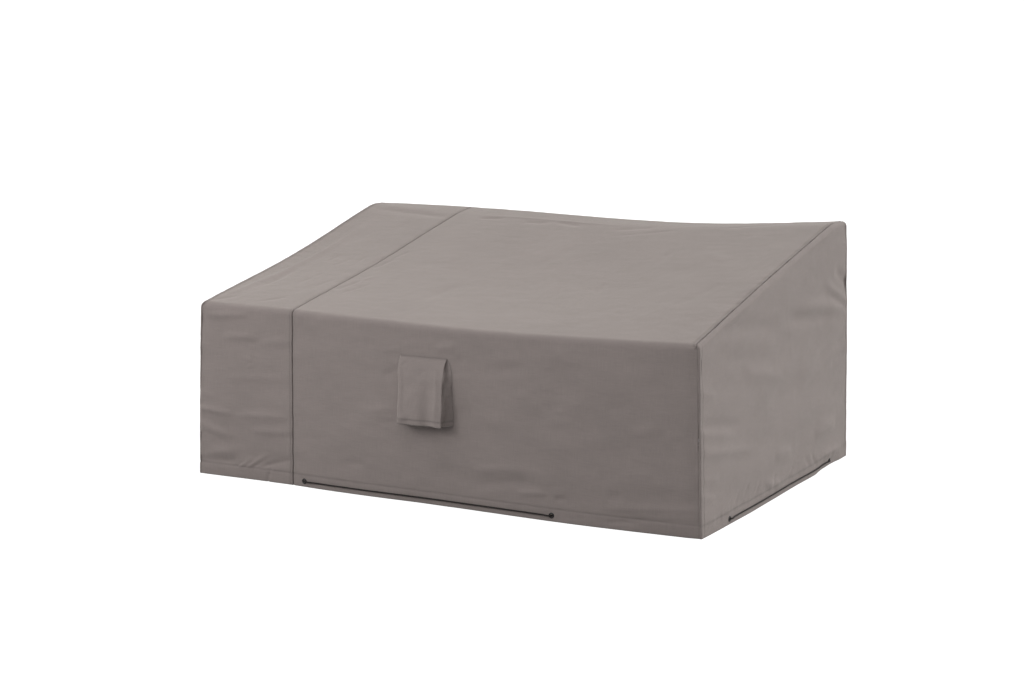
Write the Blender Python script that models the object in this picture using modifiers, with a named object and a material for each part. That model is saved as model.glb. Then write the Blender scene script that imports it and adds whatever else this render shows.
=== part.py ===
"""A fitted cover for a patio sofa: sloped top, vent hood on the front, elastic cords at the hem.

The cover hangs as it does over the furniture that fills it, and it is hollow and open below.
Z is up, the front faces -Y, and the narrow strip is at -X. The origin is on the ground, in the
middle of the cover. Metres throughout.

Places on the cover are given as across (share of the width, from the left end), back (metres
behind the straight front line) and up (metres above the ground).
"""

import math
from collections import namedtuple

import bmesh
import bpy
import numpy as np
from mathutils import Vector
from mathutils.bvhtree import BVHTree

# Driving dimensions.
WIDTH = 1.75
DEPTH = 1.18
FRONT_HEIGHT = 0.553
BACK_HEIGHT = 0.758
RIDGE_DEPTH = 0.12  # of the flat ridge behind the slope
SEAM_ACROSS = 0.2047  # the seam between the narrow and the wide strip
CLOTH = 0.002
SEWN_GAP = 0.0004  # left between two cloths that are sewn edge to edge
TURN_GAP = 0.0014  # the same at the outer face of an edge that turns in, whose inner face leans over
HOOD_PROUD = 0.055  # how far the vent hood's lower edge stands out from the front line
CORD_DIAMETER = 0.0045
EYELET_HEIGHT = 0.018

# Half of the whole depth, from the hood's lip to the back hem, puts the origin in the middle.
MIDDLE_BACK = (DEPTH - HOOD_PROUD) / 2

# How far each line of the cover is rounded, on either side of it.
FOLD_ROUND = 0.018
CREASE_ROUND = 0.035
RIDGE_ROUND = 0.020
UPRIGHT_TURN = 0.008  # the side panels turn over their upright edges by this radius
SLANTED_TURN = 0.015  # and over their slanted upper edges by this one

# Rows of faces in each stretch of a section, and columns across each strip.
FACE_ROWS = 7
ROUND_ROWS = 3  # in each half of the fold's and of the ridge's rounding
SLOPE_ROWS = 9
CREASE_ROWS = 2
RIDGE_ROWS = 1
UPRIGHT_ROWS = FACE_ROWS + ROUND_ROWS  # of an upright edge, up to the middle of its bend
TOP_ROWS = 2 * ROUND_ROWS + SLOPE_ROWS + CREASE_ROWS + RIDGE_ROWS
SECTION_ROWS = 2 * UPRIGHT_ROWS + TOP_ROWS
WIDE_COLUMNS = 14
NARROW_COLUMNS = 4

# The five lines that shape the cover. Each has its straight place, how far its ends lie in from
# the straight sides, and how far the cloth lies from the straight line along the way: the hem
# bows out, the fold and the ridge sag, and the top's right end stands high.
Line = namedtuple("Line", "back up left_in right_in stops")
Stop = namedtuple("Stop", "across back up")
FRONT_HEM_STOPS = (
    Stop(0.00, -0.009, 0.0),
    Stop(0.20, -0.006, 0.0),
    Stop(0.32, -0.017, 0.0),
    Stop(0.52, -0.016, 0.0),
    Stop(0.75, -0.026, 0.0),
    Stop(1.00, -0.009, 0.0),
)
FOLD_STOPS = (
    Stop(0.00, 0.010, -0.001),
    Stop(0.20, 0.003, -0.001),
    Stop(0.30, 0.000, 0.002),
    Stop(0.60, 0.000, -0.004),
    Stop(0.85, 0.000, 0.005),
    Stop(1.00, -0.005, 0.015),
)
CREASE_STOPS = (
    Stop(0.00, 0.010, 0.000),
    Stop(0.20, -0.005, -0.017),
    Stop(0.35, -0.015, -0.018),
    Stop(0.60, -0.010, -0.019),
    Stop(0.85, 0.000, 0.002),
    Stop(1.00, 0.003, 0.025),
)
RIDGE_STOPS = (
    Stop(0.00, -0.005, -0.010),
    Stop(0.13, 0.000, -0.005),
    Stop(0.27, 0.000, -0.005),
    Stop(0.43, 0.000, -0.010),
    Stop(0.57, 0.000, -0.014),
    Stop(0.72, 0.000, -0.011),
    Stop(0.88, 0.000, 0.006),
    Stop(1.00, 0.002, 0.023),
)
BACK_HEM_STOPS = (
    Stop(0.00, 0.000, 0.0),
    Stop(0.50, 0.012, 0.0),
    Stop(1.00, 0.010, 0.0),
)
LINES = {
    "front_hem": Line(0.0, 0.0, 0.007, 0.006, FRONT_HEM_STOPS),
    "fold": Line(0.0, FRONT_HEIGHT, 0.013, 0.022, FOLD_STOPS),
    "crease": Line(DEPTH - RIDGE_DEPTH, BACK_HEIGHT, 0.006, 0.010, CREASE_STOPS),
    "ridge": Line(DEPTH, BACK_HEIGHT, 0.002, 0.008, RIDGE_STOPS),
    "back_hem": Line(DEPTH, 0.0, 0.000, -0.008, BACK_HEM_STOPS),
}

# How far the cloth hangs below the straight slope, half way up it, and stands out half way up.
Sag = namedtuple("Sag", "across slope front")
SAGS = (
    Sag(0.00, 0.014, 0.002),
    Sag(0.20, 0.008, 0.001),
    Sag(0.40, 0.012, 0.004),
    Sag(0.70, 0.012, 0.005),
    Sag(1.00, -0.004, 0.001),
)
SAG_SHARPNESS = 1.5  # above 1, the sag is deepest in the middle and the slope's ends stay straight
BACK_SWELL = 0.006
SIDE_SWELL = 0.004
HEM_BOW = 0.009  # a side panel's hem stands out by this, most a little to the front of its middle
BOW_FORWARD = 0.75

# The vent hood. Its rows run from its sewn top down and give, from its middle, where its sewn
# edges and its face's edges are, and then how far the face stands out.
HOOD_MIDDLE = 0.8425  # along the front line from the left end
HOOD_TOP = 0.449
HOOD_HEIGHT = 0.200
HOOD_SEAM = 0.0018  # the outer face of its sewn edges lies this far out from the front
HOOD_SWELL = 0.003
HOOD_TROUGH = 0.006  # the soft upright trough in its face
HOOD_TROUGH_AT = 0.69
HOOD_TROUGH_WIDTH = 0.14
HoodRow = namedtuple("HoodRow", "down base_left base_right face_left face_right proud")
HOOD_ROWS = (
    HoodRow(0.00, -0.0860, 0.0765, -0.0850, 0.0755, 0.0032),
    HoodRow(0.08, -0.0875, 0.0845, -0.0855, 0.0725, 0.0120),
    HoodRow(0.17, -0.0895, 0.0900, -0.0850, 0.0690, 0.0210),
    HoodRow(0.50, -0.0945, 0.0945, -0.0805, 0.0685, 0.0370),
    HoodRow(0.80, -0.0975, 0.0975, -0.0745, 0.0715, 0.0470),
    HoodRow(1.00, -0.0995, 0.0995, -0.0695, 0.0738, 0.0500),
)
HOOD_MESH_ROWS = 9
GUSSET_COLUMNS = 2
HOOD_FACE_COLUMNS = 6

# An eyelet's section, turned about its axis: a flange outside the cloth, a barrel through it and a
# washer inside. Out is measured from the cloth's outer face.
EYELET_BORE = 0.0045
EYELET_BARREL = 0.0054
EYELET_FLANGE = 0.0090
EYELET_WASHER = 0.0080
OUTSIDE = SEWN_GAP
INSIDE = -CLOTH - SEWN_GAP
Turn = namedtuple("Turn", "radius out")
EYELET_TURNS = (
    Turn(EYELET_BORE + 0.0012, OUTSIDE + 0.0014),
    Turn(EYELET_FLANGE - 0.0012, OUTSIDE + 0.0011),
    Turn(EYELET_FLANGE, OUTSIDE + 0.0003),
    Turn(EYELET_FLANGE - 0.0003, OUTSIDE),
    Turn(EYELET_BARREL, OUTSIDE),
    Turn(EYELET_BARREL, INSIDE),
    Turn(EYELET_WASHER, INSIDE),
    Turn(EYELET_WASHER - 0.0004, INSIDE - 0.0010),
    Turn(EYELET_BORE + 0.0006, INSIDE - 0.0011),
    Turn(EYELET_BORE, INSIDE - 0.0004),
    Turn(EYELET_BORE, OUTSIDE + 0.0005),
)
EYELET_STEPS = 14
MERGE_DISTANCE = 0.00001
HOLE_RADIUS = EYELET_BARREL + 0.0004
HOLE_DEPTH = 8 * CLOTH
HOLE_SIDES = 16

# Where the eyelets are: along the front line from the left end, or back from it on a side.
FRONT_EYELETS = (0.406, 1.276)
SIDE_EYELETS = (0.183, 1.021)

# A cord's way at each end: along it from the eyelet's axis, out from the cloth, and its thickness
# there as a share of its radius. It starts in a stopper knot behind the eyelet.
CordStop = namedtuple("CordStop", "along out thick")
CORD_END = (
    CordStop(-0.0050, -0.0148, 1.2),
    CordStop(-0.0045, -0.0128, 2.3),
    CordStop(-0.0035, -0.0093, 2.5),
    CordStop(-0.0026, -0.0061, 2.1),
    CordStop(-0.0020, -0.0046, 1.0),
    CordStop(0.0002, 0.0000, 1.0),
    CordStop(0.0032, 0.0046, 1.0),
    CordStop(0.0085, 0.0066, 1.0),
    CordStop(0.0160, 0.0062, 1.0),
    CordStop(0.0300, 0.0042, 1.0),
    CordStop(0.0500, 0.0034, 1.0),
)
CORD_REST = 0.0034  # the cord's axis lies this far out from the cloth
CORD_RUN_POINTS = 9  # of the long run between its two ends
CORD_STEPS = 2  # points on the smooth curve for each stretch between two stops

CLOTH_COLOUR = (0.245, 0.212, 0.198, 1.0)
EYELET_COLOUR = (0.012, 0.011, 0.011, 1.0)
CORD_COLOUR = (0.022, 0.018, 0.016, 1.0)

COVER_NAME = "patio_furniture_cover"
REACH = 0.2  # a line that feels for the cloth starts this far outside it


def clear_scene():
    for thing in list(bpy.data.objects):
        bpy.data.objects.remove(thing, do_unlink=True)


def new_collection(name):
    collection = bpy.data.collections.new(name)
    bpy.context.scene.collection.children.link(collection)
    return collection


def new_material(name, colour, roughness, metallic=0.0):
    material = bpy.data.materials.new(name)
    material.use_nodes = True
    shader = material.node_tree.nodes["Principled BSDF"]
    shader.inputs["Base Color"].default_value = colour
    shader.inputs["Roughness"].default_value = roughness
    shader.inputs["Metallic"].default_value = metallic
    return material


def smooth(rows, at):
    """The other columns of a table at one value of its first, on a smooth curve through its rows."""
    table = np.array(rows)
    keys, values = table[:, 0], table[:, 1:]
    slopes = np.gradient(values, keys, axis=0)
    i = int(np.clip(np.searchsorted(keys, at) - 1, 0, len(keys) - 2))
    span = keys[i + 1] - keys[i]
    t = min(max((at - keys[i]) / span, 0.0), 1.0)
    hold = (1 + 2 * t) * (1 - t) ** 2
    lead = t * (1 - t) ** 2 * span
    trail = t * t * (t - 1) * span
    return hold * values[i] + (1 - hold) * values[i + 1] + lead * slopes[i] + trail * slopes[i + 1]


def place(x, back, up):
    """A point of the cover in the model's own frame, from its place along the front line."""
    return Vector((x - WIDTH / 2, back - MIDDLE_BACK, up))


def on_line(name, across):
    """The point of one of the five lines at a share of the width."""
    line = LINES[name]
    back, up = smooth(line.stops, across)
    x = line.left_in + across * (WIDTH - line.left_in - line.right_in)
    return place(x, line.back + back, line.up + up)


def straight(start, end, rows):
    """Points from start towards end, without the last one."""
    return [start.lerp(end, i / rows) for i in range(rows)]


def rounded(before, corner, after, reach, rows):
    """A soft bend that leaves both straight runs at reach from the corner, both ends included."""
    first = corner + (before - corner).normalized() * reach
    last = corner + (after - corner).normalized() * reach
    shares = [i / rows for i in range(rows + 1)]
    return [first.lerp(corner, t).lerp(corner.lerp(last, t), t) for t in shares]


def section(across):
    """The cloth's outer line from the front hem, over the top, to the back hem."""
    front_hem, fold, crease, ridge, back_hem = (on_line(name, across) for name in LINES)
    slope_sag, front_swell = smooth(SAGS, across)
    fold_bend = rounded(front_hem, fold, crease, FOLD_ROUND, 2 * ROUND_ROWS)
    crease_bend = rounded(fold, crease, ridge, CREASE_ROUND, CREASE_ROWS)
    ridge_bend = rounded(crease, ridge, back_hem, RIDGE_ROUND, 2 * ROUND_ROWS)
    face = straight(front_hem, fold_bend[0], FACE_ROWS)
    slope = straight(fold_bend[-1], crease_bend[0], SLOPE_ROWS)
    top = straight(crease_bend[-1], ridge_bend[0], RIDGE_ROWS)
    back = straight(ridge_bend[-1], back_hem, FACE_ROWS)
    for i, point in enumerate(face):
        point.y -= front_swell * math.sin(math.pi * i / FACE_ROWS)
    for i, point in enumerate(slope):
        point.z -= slope_sag * math.sin(math.pi * i / SLOPE_ROWS) ** SAG_SHARPNESS
    for i, point in enumerate(back):
        point.y += BACK_SWELL * math.sin(math.pi * i / FACE_ROWS)
    return face + fold_bend[:-1] + slope + crease_bend[:-1] + top + ridge_bend + back[1:] + [back_hem]


def turn_radius(row):
    """The radius by which a side panel turns over its edge, at a row of the section."""
    near_top = min(row - FACE_ROWS, SECTION_ROWS - FACE_ROWS - row) / (2 * ROUND_ROWS)
    share = min(max(near_top, 0.0), 1.0)
    return UPRIGHT_TURN + (SLANTED_TURN - UPRIGHT_TURN) * share


def grid_object(name, points, material, collection):
    """An object from rows and columns of points: points[column][row], seen from outside."""
    columns, rows = len(points) - 1, len(points[0]) - 1
    mesh = bpy.data.meshes.new(name)
    shape = bmesh.new()
    bmesh.ops.create_grid(shape, x_segments=columns, y_segments=rows, size=0.5)
    for vertex in shape.verts:
        column = round((vertex.co.x + 0.5) * columns)
        row = round((vertex.co.y + 0.5) * rows)
        vertex.co = points[column][row]
    shape.to_mesh(mesh)
    shape.free()
    mesh.materials.append(material)
    mesh.shade_smooth()
    cloth = bpy.data.objects.new(name, mesh)
    collection.objects.link(cloth)
    thickness = cloth.modifiers.new("cloth_thickness", "SOLIDIFY")
    thickness.thickness = CLOTH
    thickness.offset = -1.0
    thickness.use_even_offset = True
    return cloth


def make_strip(name, first, last, columns, material, collection):
    """A main strip between two shares of the width. An outer end stops where a side panel turns in."""
    shares = [first + (last - first) * i / columns for i in range(columns + 1)]
    points = [section(share) for share in shares]
    for row in range(SECTION_ROWS + 1):
        left_gap = SEWN_GAP / 2 if first else turn_radius(row) + TURN_GAP
        right_gap = SEWN_GAP / 2 if last < 1.0 else turn_radius(row) + TURN_GAP
        left = points[0][row].x + left_gap
        right = points[-1][row].x - right_gap
        start, width = points[0][row].x, points[-1][row].x - points[0][row].x
        for column in points:
            column[row].x = left + (right - left) * (column[row].x - start) / width
    return grid_object(name, points, material, collection)


def turned_in(point, edge):
    """How far a side panel has turned in at a point, from its distance to the nearest edge point."""
    nearest, radius = min(
        (((point.yz - stop.yz).length, turn_radius(row)) for row, stop in enumerate(edge)),
        key=lambda pair: pair[0],
    )
    inside = max(radius - nearest, 0.0)
    return radius - math.sqrt(radius**2 - inside**2)


def edge_stretches(edge):
    """A side panel's edge as its front, top and back stretches, the upright ones from the hem up."""
    front = edge[: UPRIGHT_ROWS + 1]
    top = edge[UPRIGHT_ROWS : UPRIGHT_ROWS + TOP_ROWS + 1]
    back = edge[: -UPRIGHT_ROWS - 2 : -1]
    return front, top, back


def swell_out(s, t):
    """How far a side panel stands out from the flat: bowed at the hem, slightly full higher up."""
    bow = HEM_BOW * math.sin(math.pi * s**BOW_FORWARD) * (1 - t) ** 2
    return bow + SIDE_SWELL * math.sin(math.pi * s) * math.sin(math.pi * t)


def make_side(name, end, material, collection):
    """The side panel at one end of the cover: end is 0 for the left one and 1 for the right one."""
    outward = 1 if end else -1
    edge = section(float(end))
    front, top, back = edge_stretches(edge)
    points = []
    for column in range(TOP_ROWS + 1):
        line = []
        for row in range(UPRIGHT_ROWS + 1):
            s = (top[column].y - top[0].y) / (top[-1].y - top[0].y)
            t = (front[row].z - front[0].z) / (front[-1].z - front[0].z)
            flat_bottom = front[0].lerp(back[0], s)
            flat_top = top[0].lerp(top[-1], s)
            across = front[row].lerp(back[row], s)
            upward = flat_bottom.lerp(top[column], t)
            point = across + upward - flat_bottom.lerp(flat_top, t)
            point.x += outward * (swell_out(s, t) - turned_in(point, edge))
            line.append(point)
        points.append(line)
    if not end:
        points.reverse()
    return grid_object(name, points, material, collection)


def outer_face(cloth):
    """The cloth's outer face as it is meshed, ready to be felt for with a straight line."""
    mesh = cloth.data
    return BVHTree.FromPolygons([v.co for v in mesh.vertices], [p.vertices for p in mesh.polygons])


def on_front(face, x, up):
    """The point of the front at a place along the front line, and the way it faces there."""
    return face.ray_cast(place(x, -REACH, up), Vector((0, 1, 0)))[:2]


def on_side(face, end, back, up):
    """The point of a side panel at a place behind the front line, and the way it faces there."""
    outward = 1 if end else -1
    start = Vector((outward * (WIDTH / 2 + REACH), back - MIDDLE_BACK, up))
    return face.ray_cast(start, Vector((-outward, 0, 0)))[:2]


def make_hood(front, material, collection):
    """The vent hood: its face and its two gusset sides in one piece, sewn on at its top and sides."""
    columns = []
    shares = [i / HOOD_MESH_ROWS for i in range(HOOD_MESH_ROWS + 1)]
    for i in range(2 * GUSSET_COLUMNS + HOOD_FACE_COLUMNS + 1):
        columns.append([hood_point(front, i, 1.0 - share) for share in shares])
    return grid_object("vent_hood", columns, material, collection)


def hood_point(front, column, down):
    """A point of the hood's outer face in one column, at a share of the way down it."""
    base_left, base_right, face_left, face_right, proud = smooth(HOOD_ROWS, down)
    up = HOOD_TOP - down * HOOD_HEIGHT
    last_face = GUSSET_COLUMNS + HOOD_FACE_COLUMNS
    if column < GUSSET_COLUMNS:
        rise = column / GUSSET_COLUMNS
        x = base_left + (face_left - base_left) * rise
    elif column > last_face:
        rise = 1 - (column - last_face) / GUSSET_COLUMNS
        x = base_right + (face_right - base_right) * rise
    else:
        rise = 1.0
        share = (column - GUSSET_COLUMNS) / HOOD_FACE_COLUMNS
        x = face_left + (face_right - face_left) * share
        trough = math.exp(-(((share - HOOD_TROUGH_AT) / HOOD_TROUGH_WIDTH) ** 2))
        proud += down * (HOOD_SWELL * math.sin(math.pi * share) - HOOD_TROUGH * trough)
    point = on_front(front, HOOD_MIDDLE + x, up)[0]
    point.y -= HOOD_SEAM + (proud - HOOD_SEAM) * rise
    return point


def eyelet_mesh(material):
    """The section that all eyelets share, ready to be turned."""
    mesh = bpy.data.meshes.new("eyelet")
    profile = bmesh.new()
    ring = [profile.verts.new((turn.radius, 0.0, turn.out)) for turn in EYELET_TURNS]
    for i, vertex in enumerate(ring):
        profile.edges.new((vertex, ring[(i + 1) % len(ring)]))
    profile.to_mesh(mesh)
    profile.free()
    mesh.materials.append(material)
    return mesh


def make_eyelet(name, mesh, seat, cloth, collection, cutters):
    """An eyelet on its cloth, with the hole that it goes through. The seat is a point and its normal."""
    point, normal = seat
    facing = normal.to_track_quat("Z", "Y")
    eyelet = bpy.data.objects.new(name, mesh)
    collection.objects.link(eyelet)
    eyelet.location = point
    eyelet.rotation_mode = "QUATERNION"
    eyelet.rotation_quaternion = facing
    turn = eyelet.modifiers.new("turned", "SCREW")
    turn.axis = "Z"
    turn.steps = EYELET_STEPS
    turn.render_steps = EYELET_STEPS
    turn.use_merge_vertices = True
    turn.merge_threshold = MERGE_DISTANCE
    hole_mesh = bpy.data.meshes.new(name + "_hole")
    shape = bmesh.new()
    bmesh.ops.create_cone(
        shape,
        cap_ends=True,
        segments=HOLE_SIDES,
        radius1=HOLE_RADIUS,
        radius2=HOLE_RADIUS,
        depth=HOLE_DEPTH,
    )
    shape.to_mesh(hole_mesh)
    shape.free()
    hole = bpy.data.objects.new(name + "_hole", hole_mesh)
    cutters.objects.link(hole)
    hole.location = point
    hole.rotation_mode = "QUATERNION"
    hole.rotation_quaternion = facing
    hole.hide_render = True
    hole.display_type = "WIRE"
    cut = cloth.modifiers.new(name + "_hole", "BOOLEAN")
    cut.operation = "DIFFERENCE"
    cut.object = hole


def cord_stops(length):
    """A cord's stops as along, out and thickness, from one eyelet's axis to the other's."""
    run_start, run_end = CORD_END[-1].along, length - CORD_END[-1].along
    stops = list(CORD_END)
    for i in range(1, CORD_RUN_POINTS + 1):
        share = i / (CORD_RUN_POINTS + 1)
        stops.append(CordStop(run_start + (run_end - run_start) * share, CORD_REST, 1.0))
    for stop in reversed(CORD_END):
        stops.append(CordStop(length - stop.along, stop.out, stop.thick))
    return stops


def make_cord(name, length, seat_at, material, collection):
    """A cord that runs outside the hem between two eyelets. seat_at gives the cloth at a length along."""
    route = []
    for i, stop in enumerate(cord_stops(length)):
        point, normal = seat_at(stop.along)
        route.append((float(i), *(point + normal * stop.out), stop.thick))
    steps = CORD_STEPS * (len(route) - 1)
    curve = bpy.data.curves.new(name, "CURVE")
    curve.dimensions = "3D"
    curve.bevel_depth = CORD_DIAMETER / 2
    curve.bevel_resolution = 2
    curve.use_fill_caps = True
    curve.materials.append(material)
    spline = curve.splines.new("POLY")
    spline.points.add(steps)
    for i, point in enumerate(spline.points):
        x, y, z, thick = smooth(route, i / CORD_STEPS)
        point.co = (x, y, z, 1.0)
        point.radius = thick
    cord = bpy.data.objects.new(name, curve)
    collection.objects.link(cord)
    return cord


def build():
    clear_scene()
    cover = new_collection(COVER_NAME)
    cutters = new_collection("cutters")
    cloth = new_material("cover_cloth", CLOTH_COLOUR, 0.85)
    plastic = new_material("eyelet_plastic", EYELET_COLOUR, 0.40)
    elastic = new_material("cord_elastic", CORD_COLOUR, 0.75)

    wide = make_strip("wide_main_strip", SEAM_ACROSS, 1.0, WIDE_COLUMNS, cloth, cover)
    make_strip("narrow_main_strip", 0.0, SEAM_ACROSS, NARROW_COLUMNS, cloth, cover)
    right = make_side("right_side_panel", 1, cloth, cover)
    left = make_side("left_side_panel", 0, cloth, cover)
    front_face, right_face, left_face = (outer_face(piece) for piece in (wide, right, left))
    make_hood(front_face, cloth, cover)

    def front_seat(run):
        return on_front(front_face, FRONT_EYELETS[0] + run, EYELET_HEIGHT)

    def right_seat(run):
        return on_side(right_face, 1, SIDE_EYELETS[0] + run, EYELET_HEIGHT)

    def left_seat(run):
        return on_side(left_face, 0, SIDE_EYELETS[0] + run, EYELET_HEIGHT)

    ring = eyelet_mesh(plastic)
    front_length = FRONT_EYELETS[1] - FRONT_EYELETS[0]
    side_length = SIDE_EYELETS[1] - SIDE_EYELETS[0]
    hems = (
        ("front", front_seat, front_length, wide, ("left", "right")),
        ("right", right_seat, side_length, right, ("fore", "aft")),
        ("left", left_seat, side_length, left, ("fore", "aft")),
    )
    for hem, seat_at, length, piece, ends in hems:
        for end, run in zip(ends, (0.0, length)):
            make_eyelet(f"eyelet_{hem}_{end}", ring, seat_at(run), piece, cover, cutters)
        make_cord(hem + "_cord", length, seat_at, elastic, cover)


build()
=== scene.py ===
"""The looks of a fitted cover for a patio sofa: its cloth with every hem, seam and crease, its
vent hood, its eyelets and its elastic cords, in plain studio light.

Metres, Z up, the front faces -Y. Cloth is worked out in the cover's own places: x along the front
line from the left end, back behind the front line, and up above the ground. Each cloth is a grid
of points, points[column, row], whose columns go to the right and whose rows go up, or over the
top, as it is seen from outside. Creases, seams and stitches lift it along the way it faces.
"""

import math
from collections import namedtuple

import bmesh
import bpy
import numpy as np
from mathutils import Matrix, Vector
from mathutils.bvhtree import BVHTree


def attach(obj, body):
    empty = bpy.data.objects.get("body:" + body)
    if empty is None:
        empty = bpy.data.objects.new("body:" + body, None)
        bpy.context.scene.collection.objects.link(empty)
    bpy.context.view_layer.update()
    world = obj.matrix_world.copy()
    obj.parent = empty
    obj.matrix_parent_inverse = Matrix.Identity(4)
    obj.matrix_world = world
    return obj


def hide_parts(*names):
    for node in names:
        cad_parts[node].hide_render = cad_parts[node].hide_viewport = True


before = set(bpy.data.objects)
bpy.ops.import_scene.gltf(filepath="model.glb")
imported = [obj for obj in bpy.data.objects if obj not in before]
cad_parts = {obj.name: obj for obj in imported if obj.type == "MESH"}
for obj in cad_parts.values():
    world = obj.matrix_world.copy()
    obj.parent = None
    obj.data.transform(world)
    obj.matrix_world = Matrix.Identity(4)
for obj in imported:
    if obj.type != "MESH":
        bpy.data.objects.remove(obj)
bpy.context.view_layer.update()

# Driving dimensions, the same as the model's.
WIDTH = 1.75
DEPTH = 1.18
FRONT_HEIGHT = 0.553
BACK_HEIGHT = 0.758
RIDGE_DEPTH = 0.12
SEAM_ACROSS = 0.2047
HOOD_PROUD = 0.055
MIDDLE_BACK = (DEPTH - HOOD_PROUD) / 2
FOLD_ROUND = 0.018
CREASE_ROUND = 0.035
RIDGE_ROUND = 0.020
CORD_DIAMETER = 0.0045
EYELET_HEIGHT = 0.018

# The finish of the cloth's edges. A pair of values is for the left and the right side panel.
HEM = 0.038  # the hem's stitches lie this far up
HEM_LAYERS = 0.0026  # between its outer and its inner layer
HEM_SKIP = 3  # the inner layer has every third row of the outer one
UPRIGHT_TURN = 0.006  # the side panels turn over their upright edges by this radius
SLANTED_TURN = 0.015  # and over their slanted upper edges by this one
TOPSTITCH = 0.0085  # from a seam to the row of stitches beside it
UPRIGHT_TOPSTITCH = 0.018  # the same on a side panel, behind its upright seam
SEAM_DEPTH = 0.0045
SEAM_WIDTH = 0.0012
UPRIGHT_SEAMS = (0.06, 0.30)  # upright seams are this much as deep
SEAM_LAYERS = 0.0006  # the layers inside lift the cloth this much between a seam and its stitches
LAYER_STEP = 0.001  # and end this far on either side of the stitches
EDGE_BACKS = (0.0012, 0.0042)  # the front rounds back this much where it meets a side panel
EDGE_REACH = 0.024  # from this far off
EDGE_CALM = 0.03  # a side panel's creases fade out this close to its edge
STITCHED_UP_TO = (0.96, 1.0)  # its upright stitches fade out between these shares of its height
SEWN_TOP = 0.3  # a strip's edge is topstitched where it is at least this much part of the top
ALLOWANCE = 0.010  # each sewn edge turns in this far behind its seam
SEWN_WIDTH = WIDTH - 2 * SLANTED_TURN  # of the two strips together, between the side panels
SEAM_PLACE = SEAM_ACROSS * SEWN_WIDTH  # of the seam between them

# Painted shade: how dark it makes the cloth along stitches and hem, and how far from them, seams and
# edges.
STITCH_SHADE = 0.7
HEM_SHADE = 0.6
SHADE_REACH = 0.003
SEAM_SHADE_REACH = 0.004
TOP_SHADE_REACH = 0.002

# How far apart the grids' lines are: close along seams, hems and folds, wide where it is plain.
Spacing = namedtuple("Spacing", "fine coarse reach")
ACROSS = Spacing(0.0015, 0.0066, 0.009)
FACE_UP = Spacing(0.0030, 0.0068, 0.020)
SLOPE_UP = Spacing(0.0040, 0.0078, 0.030)
BACK_UP = Spacing(0.0036, 0.0240, 0.016)
SIDE_BACK = Spacing(0.0020, 0.0080, 0.012)
SIDE_UP = Spacing(0.0030, 0.0078, 0.020)
HOOD_UP = Spacing(0.0014, 0.0038, 0.010)
BEND_ROWS = 12
BEND_CROWDING = 1.6  # above 1, a bend's rows are closer together in its middle
TOP_GAP = 0.006
TURN_STEPS = 6
SPREAD_STEPS = 400  # a stretch is measured in this many steps
HOOD_FACE_COLUMNS = 46
GUSSET_COLUMNS = 16
TINY = 1e-12

RATIOS = ("across", "down", "thick")  # fields of the tables below that aren't lengths


def in_metres(shape, *rows):
    """A table in metres, from rows with their lengths in millimetres."""
    scales = [1 if field in RATIOS else 1000 for field in shape._fields]
    return tuple(shape(*(value / scale for value, scale in zip(row, scales))) for row in rows)


# The five lines that shape the cover. They are the model's, but for the fold, which lies up to
# 9 mm lower than there.
Line = namedtuple("Line", "back up left_in right_in stops")
Stop = namedtuple("Stop", "across back up")
FRONT_HEM_STOPS = in_metres(
    Stop,
    (0.00, -9, 0),
    (0.20, -6, 0),
    (0.32, -17, 0),
    (0.52, -16, 0),
    (0.75, -26, 0),
    (1.00, -9, 0),
)
FOLD_STOPS = in_metres(
    Stop,
    (0.00, 10, -1),
    (0.20, 3, -1),
    (0.30, 0, -4),
    (0.60, 0, -12),
    (0.85, 0, -3),
    (1.00, -5, 6),
)
CREASE_STOPS = in_metres(
    Stop,
    (0.00, 10, 0),
    (0.20, -5, -17),
    (0.35, -15, -18),
    (0.60, -10, -19),
    (0.85, 0, 2),
    (1.00, 3, 25),
)
RIDGE_STOPS = in_metres(
    Stop,
    (0.00, -5, -10),
    (0.13, 0, -5),
    (0.27, 0, -5),
    (0.43, 0, -10),
    (0.57, 0, -14),
    (0.72, 0, -11),
    (0.88, 0, 6),
    (1.00, 2, 23),
)
BACK_HEM_STOPS = in_metres(
    Stop,
    (0.00, 0, 0),
    (0.50, 12, 0),
    (1.00, 10, 0),
)
LINES = {
    "front_hem": Line(0.0, 0.0, 0.007, 0.006, FRONT_HEM_STOPS),
    "fold": Line(0.0, FRONT_HEIGHT, 0.013, 0.022, FOLD_STOPS),
    "crease": Line(DEPTH - RIDGE_DEPTH, BACK_HEIGHT, 0.006, 0.010, CREASE_STOPS),
    "ridge": Line(DEPTH, BACK_HEIGHT, 0.002, 0.008, RIDGE_STOPS),
    "back_hem": Line(DEPTH, 0.0, 0.000, -0.008, BACK_HEM_STOPS),
}

# How far the cloth hangs below the straight slope, half way up it, and stands out half way up.
Sag = namedtuple("Sag", "across slope front")
SAGS = in_metres(
    Sag,
    (0.00, 14, 2),
    (0.20, 8, 1),
    (0.40, 12, 4),
    (0.70, 12, 5),
    (1.00, -4, 1),
)
SAG_SHARPNESS = 1.5
BACK_SWELL = 0.006
SIDE_SWELL = 0.004
HEM_BOW = 0.009
BOW_FORWARD = 0.75

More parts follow.
